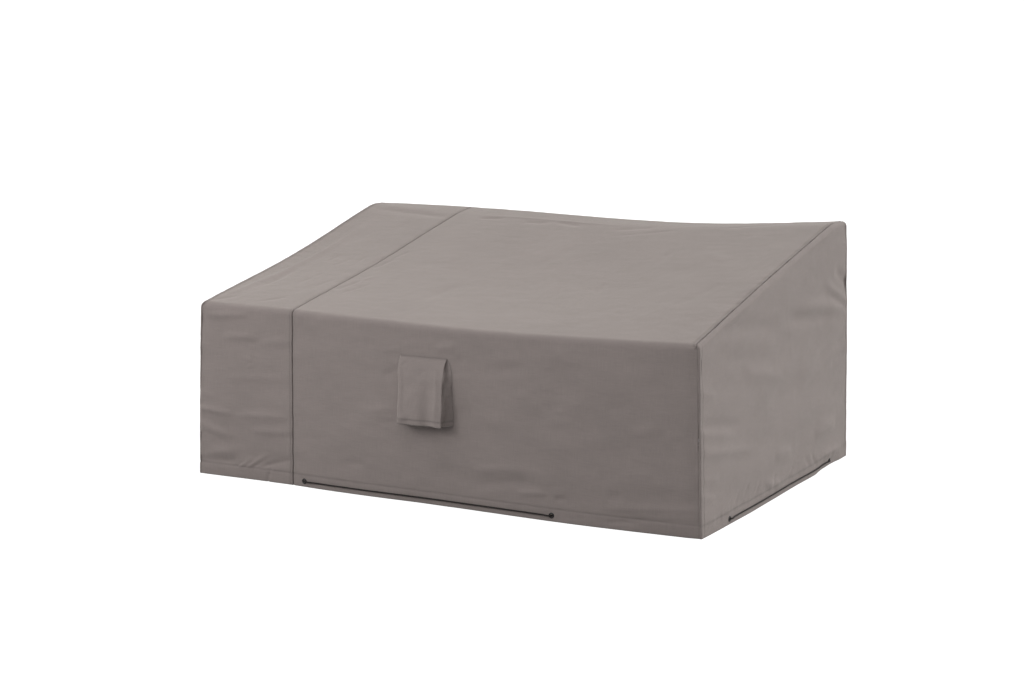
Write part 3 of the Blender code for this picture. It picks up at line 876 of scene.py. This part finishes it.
def make_side(end):
    """The side panel at one end of the cover, 0 for the left one and 1 for the right one."""
    outward = 1 if end else -1
    edge = section(end, SIDE_ROWS)[0]
    points, s, t = side_surface(edge)
    arc, run, slanted = round_edge(points, edge, outward)
    bow = HEM_BOW * np.sin(math.pi * s**BOW_FORWARD) * (1 - t) ** 2
    points[:, :, 0] += outward * (bow + SIDE_SWELL * np.sin(math.pi * s) * np.sin(math.pi * t))
    behind, up = points[:, :, 1], points[:, :, 2]
    creases = RIGHT_CREASES if end else LEFT_CREASES
    lift = creased(behind, up, creases) + waved(behind, up, SIDE_WAVES)
    lift *= smooth_step(arc, 0, EDGE_CALM)
    deep = UPRIGHT_SEAMS[end] + (1 - UPRIGHT_SEAMS[end]) * slanted
    lift += seamed(arc) * deep + puckered(run, arc, PUCKERS.side_edge + end)
    lift -= (1 - slanted) * EDGE_BACKS[end] * near(arc, UPRIGHT_TURN)
    from_upright = np.minimum(s, 1 - s) * DEPTH
    to_stitches = from_upright - UPRIGHT_TOPSTITCH
    on_upright = 1 - smooth_step(t, *STITCHED_UP_TO)
    lift += on_upright * stitched(to_stitches)
    lift += on_upright * puckered(up, to_stitches, PUCKERS.side_upright + end)
    lift += layered(from_upright, UPRIGHT_TOPSTITCH)
    lift += stitched(up - HEM) + HEM_PUCKER * puckered(behind, up - HEM, PUCKERS.side_hem + end)
    # Painted shade: darker along the hem's stitches and lowest edge, in the seam round its edge and
    # along its upright stitches.
    worn = near(up - HEM, SHADE_REACH) + beside(up, SHADE_REACH)
    worn += beside(arc, SEAM_SHADE_REACH) * (1.0 if end else deep)
    worn += STITCH_SHADE * near(to_stitches, SHADE_REACH)
    if not end:
        points, lift, worn = points[::-1], lift[::-1], worn[::-1]
    return make_cloth(points, lift, worn)


def tucked(cloth, top=False):
    """The same cloth with its sewn edges turned in behind their seams, at both sides, and at the top
    of a side panel."""
    inner = (cloth.points - cloth.ways * ALLOWANCE, *cloth[1:])
    layers = []
    for own, turned in zip(cloth, inner):
        turned = np.concatenate([turned[:1], turned, turned[-1:]])
        own = np.concatenate([turned[:1], own, turned[-1:]])
        layers.append(np.concatenate([own, turned[:, -1:]], 1) if top else own)
    return Cloth(*layers)


def turned_up(cloth, rows):
    """The same cloth with its hem turned up inside. Its first rows now go from the raw edge, that
    many rows up, down to the lowest line."""
    points, ways, weave, worn = cloth
    low = points[:, :1] - ways[:, :1] * HEM_LAYERS / 2
    points[:, 0] += unit(points[:, 1] - points[:, 0]) * HEM_LAYERS / 2
    keep = [*range(rows, 0, -HEM_SKIP), 0]
    back_up = weave[:, keep]
    back_up[:, :, 1] = 2 * weave[:, :1, 1] - back_up[:, :, 1]
    inner = (points[:, keep] - ways[:, keep] * HEM_LAYERS, ways[:, keep], back_up, worn[:, keep])
    lowest = (low, ways[:, :1], weave[:, :1], worn[:, :1])
    return Cloth(*(np.concatenate(parts, 1) for parts in zip(inner, lowest, cloth)))


def turned_over(cloth):
    """The same cloth with its rows the other way round."""
    return Cloth(*(layer[:, ::-1] for layer in cloth))


def closest(values, wanted):
    """Where in a row of values the one closest to the wanted one is."""
    return int(np.abs(values - wanted).argmin())


def hem_row(cloth):
    """Which row of a cloth its hem's stitches lie along."""
    return closest(np.abs(cloth.weave[:, :, 1].mean(0) - cloth.weave[0, 0, 1]), HEM)


SHIFT = np.array([-WIDTH / 2, -MIDDLE_BACK, 0.0])
FRONT_WAY = Vector((0, -1, 0))


def placed(name, data, at=(0.0, 0.0, 0.0), turned=(0.0, 0.0, 0.0)):
    """A new object in the scene."""
    thing = bpy.data.objects.new(name, data)
    bpy.context.scene.collection.objects.link(thing)
    thing.location = at
    thing.rotation_euler = turned
    return thing


def make_object(name, points, faces, material, weave=None, worn=None):
    """A smooth mesh piece that rides on the cover."""
    mesh = bpy.data.meshes.new(name)
    mesh.from_pydata(points.tolist(), [], faces.tolist() if hasattr(faces, "tolist") else faces)
    mesh.materials.append(material)
    mesh.shade_smooth()
    loops = np.zeros(len(mesh.loops), int)
    mesh.loops.foreach_get("vertex_index", loops)
    if weave is not None:
        layer = mesh.uv_layers.new(name="weave")
        layer.data.foreach_set("uv", weave[loops].astype(np.float32).ravel())
    # painted shade along seams, stitches and edges, for the material to darken its colour by
    if worn is not None:
        attribute = mesh.attributes.new("worn", "FLOAT", "POINT")
        attribute.data.foreach_set("value", np.clip(worn, 0, 1).astype(np.float32))
    piece = placed(name, mesh)
    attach(piece, "root")
    return piece


def grid_faces(columns, rows, closed=False):
    """The four-cornered faces of a grid of points, which may close on itself across its columns."""
    index = np.arange(columns * rows).reshape(columns, rows)
    if closed:
        index = np.concatenate([index, index[:1]])
    corners = (index[:-1, :-1], index[1:, :-1], index[1:, 1:], index[:-1, 1:])
    return np.stack(corners, 2).reshape(-1, 4)


def all_round(count):
    """The cosines and the sines of equal steps all the way round."""
    turns = np.arange(count) * 2 * math.pi / count
    return np.cos(turns), np.sin(turns)


def cloth_object(name, cloth, node, material):
    """A cloth as a piece in place of its CAD solid."""
    points = cloth.points.reshape(-1, 3) + SHIFT
    points[:, 2] = np.maximum(points[:, 2], 0.0)
    faces = grid_faces(*cloth.points.shape[:2])
    weave, worn = cloth.weave.reshape(-1, 2), cloth.worn.ravel()
    piece = make_object(name, points, faces, material, weave, worn)
    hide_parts(node)
    return piece


def outer_face(piece):
    """A piece's faces, ready to be felt for with a straight line."""
    mesh = piece.data
    return BVHTree.FromPolygons([v.co for v in mesh.vertices], [p.vertices for p in mesh.polygons])


def felt(face, way, along, up):
    """The point of a cloth at a place along its hem and up it, and the way it faces there. A straight
    line feels for it from outside, against the way that this side of the cover faces."""
    beyond = WIDTH + REACH if way.x > 0 else -REACH
    start = Vector((along, -REACH, up) if way.y else (beyond, along, up))
    return face.ray_cast(start + Vector(SHIFT), -way)[:2]


def gusset(base, face, rise, inward, wave):
    """Where a gusset is across the front, at a share of its way out from the front to the face."""
    fold = inward * math.sin(math.pi * rise) + wave * math.sin(2 * math.pi * rise)
    return base + (face - base) * rise + fold


def make_hood(front):
    """The vent hood's face and its two gussets, in one piece, as a cloth on the front."""
    close = [0.0, HOOD_HEM, HOOD_HEIGHT - HOOD_TOPSTITCH]
    down = 1 - spread(HOOD_HEIGHT, HOOD_UP, close) / HOOD_HEIGHT
    base_left, base_right, face_left, face_right, proud = smooth(HOOD_ROWS, down).T
    inward, wave = smooth(GUSSET_FOLDS, down).T
    above = HOOD_HEIGHT * (1 - down)
    up = HOOD_TOP - down * HOOD_HEIGHT
    last_face = GUSSET_COLUMNS + HOOD_FACE_COLUMNS
    columns = []
    for column in range(last_face + GUSSET_COLUMNS + 1):
        out = proud.copy()
        if column < GUSSET_COLUMNS:
            rise = column / GUSSET_COLUMNS
            x = gusset(base_left, face_left, rise, LEFT_GUSSET * inward, wave)
        elif column > last_face:
            rise = 1 - (column - last_face) / GUSSET_COLUMNS
            x = gusset(base_right, face_right, rise, -inward, -wave)
        else:
            rise = 1.0
            share = (column - GUSSET_COLUMNS) / HOOD_FACE_COLUMNS
            x = face_left + (face_right - face_left) * share
            trough = HOOD_TROUGH * near(share - HOOD_TROUGH_AT, HOOD_TROUGH_WIDTH)
            out += down * (HOOD_SWELL * math.sin(math.pi * share) - trough)
            out += creased(x - face_left, above, HOOD_CREASES) * smooth_step(down, 0, HOOD_CALM)
            out -= HOOD_STITCH_SINK * near(above - HOOD_HEM, HOOD_STITCH_REACH)
        line = []
        for i in range(len(down)):
            base = felt(front, FRONT_WAY, HOOD_MIDDLE + x[i], up[i])[0] - Vector(SHIFT)
            line.append((base.x, base.y - HOOD_SEAM - (out[i] - HOOD_SEAM) * rise, up[i]))
        columns.append(line)
    points = np.array(columns)
    # Painted shade: darker along the hem's stitches, at the lowest edge and under the top seam.
    worn = near(above - HOOD_HEM, SHADE_REACH) + beside(above, SHADE_REACH)
    worn = worn + beside(HOOD_HEIGHT - above, TOP_SHADE_REACH) + np.zeros(points.shape[:2])
    return make_cloth(points, np.zeros(worn.shape), worn)


def up_column(cloth, column, rows=slice(None)):
    """A line up one of a cloth's columns: its points and the ways that they face."""
    return cloth.points[column, rows], cloth.ways[column, rows]


def along_row(cloth, row, columns=slice(None)):
    """The same along one of its rows."""
    return cloth.points[columns, row], cloth.ways[columns, row]


def finish_strip(cloth, top_column, whole_columns=()):
    """A main strip with its sewn edges and both hems turned in, and the lines of its stitches. One
    runs over the top alone, others from hem to hem, and two along the hems."""
    on_top = np.flatnonzero(section_parts(STRIP_ROWS)[1] > SEWN_TOP)
    over = turned_over(cloth)
    front, back = hem_row(cloth), hem_row(over)
    lines = [up_column(cloth, top_column, slice(on_top[0], on_top[-1] + 1))]
    lines += [up_column(cloth, column) for column in whole_columns]
    lines += [along_row(cloth, front), along_row(over, back)]
    cloth = turned_over(turned_up(tucked(cloth), front + 1))
    return turned_over(turned_up(cloth, back + 1)), lines


def wide_strip():
    width = SEWN_WIDTH - SEAM_PLACE
    eyelets = [x - SEAM_PLACE for x in FRONT_EYELETS]
    places = spread(width, ACROSS, [0.0, *eyelets, width - TOPSTITCH, width])
    return finish_strip(make_strip(SEAM_ACROSS, 1.0, places), closest(places, width - TOPSTITCH))


def narrow_strip():
    last = SEAM_PLACE - TOPSTITCH
    places = spread(SEAM_PLACE, ACROSS, [0.0, TOPSTITCH, last, SEAM_PLACE])
    cloth = make_strip(0.0, SEAM_ACROSS, places)
    return finish_strip(cloth, closest(places, TOPSTITCH), [closest(places, last)])


def side_panel(end):
    """A side panel with its sewn edges and its hem turned in, and the lines of its stitches."""
    cloth = make_side(end)
    places = side_places() if end else DEPTH - side_places()[::-1]
    columns = [closest(places, place) for place in (UPRIGHT_TOPSTITCH, DEPTH - UPRIGHT_TOPSTITCH)]
    row = closest(cloth.points[:, :, 2].mean(0), HEM)
    lines = [up_column(cloth, column, slice(-BEND_ROWS // 2)) for column in columns]
    lines.append(along_row(cloth, row))
    return turned_up(tucked(cloth, top=True), row + 1), lines


def vent_hood(front):
    """The vent hood with its hem turned up, and the lines of its stitches."""
    cloth = make_hood(front)
    up = cloth.points[0, :, 2]
    hem, top = closest(up - up[0], HOOD_HEM), closest(up - up[-1], -HOOD_TOPSTITCH)
    face = slice(GUSSET_COLUMNS + 1, -GUSSET_COLUMNS - 1)
    lines = [along_row(cloth, hem), along_row(cloth, top, face)]
    return turned_up(cloth, hem + 1), lines


def stitch_frames(line, ways):
    """Where each stitch of a row starts and ends, and the way its cloth faces there."""
    run = run_lengths(line[None], 1)[0]
    count = int(run[-1] / STITCH_STEP)
    middle = (np.arange(count) + 0.5) * run[-1] / count

    def at(values, place):
        return np.stack([np.interp(place, run, values[:, i]) for i in range(3)], 1)

    start, end = at(line, middle - STITCH / 2), at(line, middle + STITCH / 2)
    return start, end, unit(at(ways, middle))


def make_stitches(name, rows, material):
    """Rows of stitches in one piece. Each row is a line of points and the ways that they face."""
    frames = [stitch_frames(line, ways) for line, ways in rows]
    start, end, up = (np.concatenate(part) for part in zip(*frames))
    side = np.cross(unit(end - start), up)
    upward, aside = all_round(STITCH_SIDES)
    ring = up[:, None] * upward[None, :, None] + side[:, None] * aside[None, :, None]
    rings = []
    for share, size, proud in STITCH_RINGS:
        middle = start + (end - start) * share + up * (STITCH_PROUD * proud)
        rings.append(middle[:, None] + ring * STITCH_RADIUS * size)
    points = np.stack(rings, 2)
    single = grid_faces(STITCH_SIDES, len(rings), closed=True)
    step = STITCH_SIDES * len(rings)
    faces = (single[None] + (np.arange(len(points)) * step)[:, None, None]).reshape(-1, 4)
    return make_object(name, points.reshape(-1, 3) + SHIFT, faces, material)


def open_cloth(cloth, point, normal):
    """Takes away a cloth's faces round an eyelet's axis, in all the layers that it goes through."""

    def off_axis(place):
        off = place - point
        return (off - normal * off.dot(normal)).length

    shape = bmesh.new()
    shape.from_mesh(cloth.data)
    inside = []
    for face in shape.faces:
        close = (face.calc_center_median() - point).length < HOLE_DEPTH
        if close and all(off_axis(corner.co) < HOLE_RADIUS for corner in face.verts):
            inside.append(face)
    bmesh.ops.delete(shape, geom=inside, context="FACES")
    shape.to_mesh(cloth.data)
    shape.free()


def make_eyelet(name, node, seat, cloth, material):
    """An eyelet on its cloth, which is opened under its flange. The seat is a point and its normal."""
    point, normal = seat
    radius, out = np.array(EYELET_TURNS + EYELET_TURNS[:1]).T
    right, upward = all_round(EYELET_STEPS)
    ring = (right[:, None] * radius, upward[:, None] * radius, out[None, :])
    points = np.stack(np.broadcast_arrays(*ring), 2).reshape(-1, 3)
    turned = np.array(normal.to_track_quat("Z", "Y").to_matrix())
    faces = grid_faces(EYELET_STEPS, len(radius), closed=True)
    eyelet = make_object(name, points @ turned.T + np.array(point), faces, material)
    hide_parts(node)
    open_cloth(cloth, point, normal)
    return eyelet


def cord_stops(length):
    """A cord's stops from one eyelet's axis to the other's."""
    run_start, run_end = CORD_END[-1].along, length - CORD_END[-1].along
    stops = list(CORD_END)
    for i in range(1, CORD_RUN_POINTS + 1):
        share = i / (CORD_RUN_POINTS + 1)
        stops.append(CordStop(1.0, run_start + (run_end - run_start) * share, CORD_REST))
    for stop in reversed(CORD_END):
        stops.append(CordStop(stop.thick, length - stop.along, stop.out))
    return stops


def tube(path, radii):
    """A closed round tube along a path, as its points, its faces and its weave."""
    run = run_lengths(path[None], 1)[0]
    forward = unit(np.gradient(path, run, axis=0))
    aside = unit(np.cross(forward, [0.0, 0.0, 1.0]))
    upward = np.cross(aside, forward)
    along_up, along_side = (part[:, None, None] for part in all_round(CORD_SIDES))
    ring = along_up * upward + along_side * aside
    points = (path + ring * radii[None, :, None]).reshape(-1, 3)
    rows = len(path)
    columns = np.arange(CORD_SIDES) * rows
    faces = grid_faces(CORD_SIDES, rows, closed=True).tolist()
    faces += [columns.tolist(), (columns[::-1] + rows - 1).tolist()]
    around = np.arange(CORD_SIDES)[:, None] / CORD_SIDES
    weave = np.stack(np.broadcast_arrays(around, run[None, :]), 2)
    return points, faces, weave.reshape(-1, 2)


def make_cord(name, node, length, seat_at, way, material):
    """A cord outside the hem between two eyelets. seat_at gives the cloth, and way is outward."""
    route = []
    for i, stop in enumerate(cord_stops(length)):
        point = seat_at(stop.along)[0]
        route.append((float(i), *(point + way * stop.out), stop.thick))
    places = np.linspace(0, len(route) - 1, CORD_STEPS * (len(route) - 1) + 1)
    x, y, z, thick = smooth(route, places).T
    path = np.stack([x, y, z], 1)
    radius = CORD_DIAMETER / 2
    points, faces, weave = tube(path, np.full(len(path), radius))
    cord = make_object(name, points, faces, material, weave)
    lumps = 1 + KNOT_LUMPS * np.sin(np.linspace(0, KNOT_TURNS * math.pi, KNOT_ROWS)) ** 2
    for end, rows in (("start", slice(None, KNOT_ROWS)), ("end", slice(-KNOT_ROWS, None))):
        points, faces, weave = tube(path[rows], thick[rows] * radius * lumps)
        knot = make_object(f"{name}_knot_{end}", points, faces, material, weave)
    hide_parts(node)
    float(run_lengths(path[None], 1)[0, -1])


def lace_hem(hem, cloth, face, elastic, plastic):
    """A hem's cord and its two eyelets."""
    first, last = hem.eyelets
    way = Vector(hem.way)

    def seat_at(run):
        return felt(face, way, first + run, EYELET_HEIGHT)

    make_cord(f"{hem.name}_elastic", f"{hem.name}_cord", last - first, seat_at, way, elastic)
    for end, run in zip(hem.ends, (0.0, last - first)):
        node = f"eyelet_{hem.name}_{end}"
        make_eyelet(f"{node}_ring", node, seat_at(run), cloth, plastic)


class Nodes:
    """The nodes of a material or of the world, made and wired up one after another."""

    def __init__(self, owner, shader="Principled BSDF"):
        owner.use_nodes = True
        self.owner = owner
        self.tree = owner.node_tree
        self.shader = self.tree.nodes[shader]

    def wire(self, node, inputs):
        """Gives a node's inputs, which go by number or name, their values or their links."""
        for key, value in inputs.items():
            if isinstance(value, bpy.types.NodeSocket):
                self.tree.links.new(value, node.inputs[key])
            else:
                node.inputs[key].default_value = value
        return node

    def made(self, kind, inputs=None, operation=None):
        """A new node, with its operation and its inputs."""
        node = self.tree.nodes.new(kind)
        if operation:
            node.operation = operation
        return self.wire(node, inputs or {})

    def shade(self, inputs):
        """Wires up the shader, and gives the finished material or world."""
        self.wire(self.shader, inputs)
        return self.owner

    def math(self, operation, first, second=0.0):
        return self.made("ShaderNodeMath", {0: first, 1: second}, operation).outputs[0]

    def times(self, first, second):
        return self.math("MULTIPLY", first, second)

    def across_and_up(self):
        """The piece's own lengths across and up its weave, in metres."""
        uv = self.made("ShaderNodeUVMap")
        uv.uv_map = "weave"
        return self.made("ShaderNodeSeparateXYZ", {0: uv.outputs[0]}).outputs[:2]

    def place(self):
        return self.made("ShaderNodeTexCoord").outputs["Object"]

    def seen(self):
        """1 where the camera looks straight at it, and 0 for the light that it throws."""
        return self.made("ShaderNodeLightPath").outputs["Is Camera Ray"]

    def joined(self, x, y):
        return self.made("ShaderNodeCombineXYZ", {0: x, 1: y}).outputs[0]

    def noise(self, place, pattern):
        inputs = {"Vector": place, **dict(zip(("Scale", "Detail", "Roughness"), pattern))}
        return self.made("ShaderNodeTexNoise", inputs).outputs["Fac"]

    def ranged(self, value, span, tones):
        """A value with its own span stretched on to a span of tones."""
        inputs = dict(enumerate((value, *span, *tones)))
        return self.made("ShaderNodeMapRange", inputs).outputs[0]

    def scaled(self, colour, amount):
        """A colour multiplied by an amount that changes over the surface."""
        inputs = {0: colour, "Scale": amount}
        return self.made("ShaderNodeVectorMath", inputs, "SCALE").outputs[0]

    def bump(self, height, distance, strength, below=None):
        inputs = {"Strength": strength, "Distance": distance, "Height": height}
        if below is not None:
            inputs["Normal"] = below
        return self.made("ShaderNodeBump", inputs).outputs[0]

    def attribute(self, name):
        node = self.made("ShaderNodeAttribute")
        node.attribute_name = name
        return node.outputs["Fac"]


def new_material(name):
    return Nodes(bpy.data.materials.new(name))


def cloth_material():
    """Plain woven polyester: fine yarn, faint mottling, painted shade at seams and edges, a soft
    crumple and a little sheen.
    """
    nodes = new_material("woven_polyester")
    across, up = nodes.across_and_up()
    over, under = (nodes.math("SINE", nodes.times(run, math.pi / YARN)) for run in (across, up))
    weave = nodes.times(over, under)
    warp = nodes.joined(nodes.times(across, STREAKS), nodes.times(up, STREAK_BREAKS))
    weft = nodes.joined(nodes.times(across, STREAK_BREAKS), nodes.times(up, STREAKS))
    yarn = nodes.math("ADD", nodes.noise(warp, STREAK), nodes.noise(weft, STREAK))
    drawn_out = nodes.joined(nodes.times(across, DRAWN_OUT), up)
    mottle, crumple = nodes.noise(drawn_out, MOTTLE), nodes.noise(drawn_out, CRUMPLE)
    tone = nodes.ranged(mottle, NOISE, MOTTLE_TONES)
    tone = nodes.times(tone, nodes.ranged(yarn, TWO_NOISES, YARN_TONES))
    tone = nodes.times(tone, nodes.ranged(weave, WAVE, WEAVE_TONES))
    # painted shade: the colour is darker along the seams, stitches and edges
    tone = nodes.times(tone, nodes.ranged(nodes.attribute("worn"), (0.0, 1.0), (1.0, PAINTED_SHADE_TONE)))
    soft = nodes.bump(crumple, CRUMPLE_HEIGHT, 0.5)
    inputs = {
        "Base Color": nodes.scaled(CLOTH_COLOUR, tone),
        "Roughness": nodes.ranged(mottle, NOISE, (0.76, 0.86)),
        "Sheen Weight": 0.25,
        "Sheen Roughness": 0.5,
        "Sheen Tint": (1.0, 0.96, 0.88, 1.0),
        "Specular IOR Level": 0.30,
        "Normal": nodes.bump(weave, WEAVE_HEIGHT, 0.6, soft),
    }
    return nodes.shade(inputs)


def thread_material():
    nodes = new_material("polyester_thread")
    twist = nodes.noise(nodes.place(), TWIST)
    inputs = {
        "Base Color": nodes.scaled(THREAD_COLOUR, nodes.ranged(twist, NOISE, (0.8, 1.2))),
        "Roughness": nodes.ranged(twist, NOISE, (0.55, 0.75)),
        "Normal": nodes.bump(twist, TWIST_HEIGHT, 0.5),
        "Sheen Weight": 0.2,
    }
    return nodes.shade(inputs)


def eyelet_material():
    nodes = new_material("black_plastic")
    place = nodes.place()
    dust, grain = nodes.noise(place, DUST), nodes.noise(place, GRAIN)
    inputs = {
        "Base Color": nodes.scaled(EYELET_COLOUR, nodes.ranged(dust, (0.35, 0.7), (0.8, 1.8))),
        "Roughness": nodes.ranged(dust, NOISE, (0.34, 0.52)),
        "Normal": nodes.bump(grain, GRAIN_HEIGHT, 0.5),
    }
    return nodes.shade(inputs)


def cord_material():
    """Braided elastic: two sets of strands that cross round the cord."""
    nodes = new_material("braided_elastic")
    around, up = nodes.across_and_up()
    turn = nodes.times(around, 2 * math.pi * STRANDS)
    climb = nodes.times(up, 2 * math.pi * STRANDS / STRAND_PITCH)
    one, other = (nodes.math("SINE", nodes.math(way, turn, climb)) for way in ("ADD", "SUBTRACT"))
    braid = nodes.times(one, other)
    fleck = nodes.noise(nodes.place(), FLECK)
    tone = nodes.ranged(braid, WAVE, (0.55, 1.35))
    tone = nodes.times(tone, nodes.ranged(fleck, NOISE, (0.7, 1.5)))
    inputs = {
        "Base Color": nodes.scaled(CORD_COLOUR, tone),
        "Roughness": nodes.ranged(fleck, NOISE, (0.6, 0.8)),
        "Normal": nodes.bump(braid, BRAID_HEIGHT, 0.7),
        "Sheen Weight": 0.05,
        "Specular IOR Level": 0.25,
    }
    return nodes.shade(inputs)


def floor_material():
    nodes = new_material("pale_floor")
    faint = nodes.ranged(nodes.noise(nodes.place(), FLOOR_PATTERN), NOISE, (0.99, 1.01))
    inputs = {
        "Base Color": nodes.scaled((FLOOR_COLOUR,) * 3, faint),
        "Roughness": 0.9,
        "Specular IOR Level": 0.0,
        "Emission Color": WHITE,
        "Emission Strength": nodes.times(nodes.seen(), FLOOR_GLOW),
    }
    return nodes.shade(inputs)


def make_camera():
    data = bpy.data.cameras.new("camera")
    data.lens = CAMERA_LENS
    data.sensor_width = CAMERA_SENSOR
    data.clip_end = 2 * FLOOR_SIZE
    turned = (math.radians(CAMERA_TILT), 0.0, math.radians(CAMERA_TURN))
    bpy.context.scene.camera = placed("camera", data, CAMERA_AT, turned)


def make_floor():
    half = FLOOR_SIZE / 2
    mesh = bpy.data.meshes.new("floor")
    corners = [(x * half, y * half, -FLOOR_DROP) for x, y in ((-1, -1), (1, -1), (1, 1), (-1, 1))]
    mesh.from_pydata(corners, [], [(0, 1, 2, 3)])
    mesh.materials.append(floor_material())
    floor = placed("floor", mesh)


def make_lights():
    for sun in SUNS:
        data = bpy.data.lights.new(sun.name, "SUN")
        data.energy = sun.strength
        data.angle = math.radians(sun.softness)
        turned = (math.radians(90 - sun.height), 0.0, math.radians(sun.turn))
        placed(sun.name, data, turned=turned)
    data = bpy.data.lights.new("lamp", "AREA")
    data.shape = "DISK"
    data.size = LAMP_SIZE
    data.energy = LAMP_POWER
    way = Vector(LAMP_TO) - Vector(LAMP_AT)
    placed("lamp", data, LAMP_AT, way.to_track_quat("-Z", "Y").to_euler())


def make_world():
    nodes = Nodes(bpy.data.worlds.new("studio"), "Background")
    strength = nodes.ranged(nodes.seen(), (0.0, 1.0), (WORLD_STRENGTH, WORLD_SEEN))
    bpy.context.scene.world = nodes.shade({"Strength": strength, "Color": WHITE})
    bpy.context.scene.view_settings.view_transform = "Standard"


def build():
    make_camera()
    woven, thread = cloth_material(), thread_material()
    plastic, elastic = eyelet_material(), cord_material()
    pieces, stitching = {}, {}

    def add(name, node, cloth, lines):
        pieces[name] = cloth_object(f"{name}_cloth", cloth, node, woven)
        stitching[name] = lines

    add("wide_strip", "wide_main_strip", *wide_strip())
    add("narrow_strip", "narrow_main_strip", *narrow_strip())
    add("right_side", "right_side_panel", *side_panel(1))
    add("left_side", "left_side_panel", *side_panel(0))
    faces = {hem.piece: outer_face(pieces[hem.piece]) for hem in HEMS}
    add("vent_hood", "vent_hood", *vent_hood(faces["wide_strip"]))
    for hem in HEMS:
        lace_hem(hem, pieces[hem.piece], faces[hem.piece], elastic, plastic)
    for name, (flat, area) in FLATS.items():
        stitches = make_stitches(f"{name}_stitches", stitching[name], thread)
    make_floor()
    make_lights()
    make_world()


build()
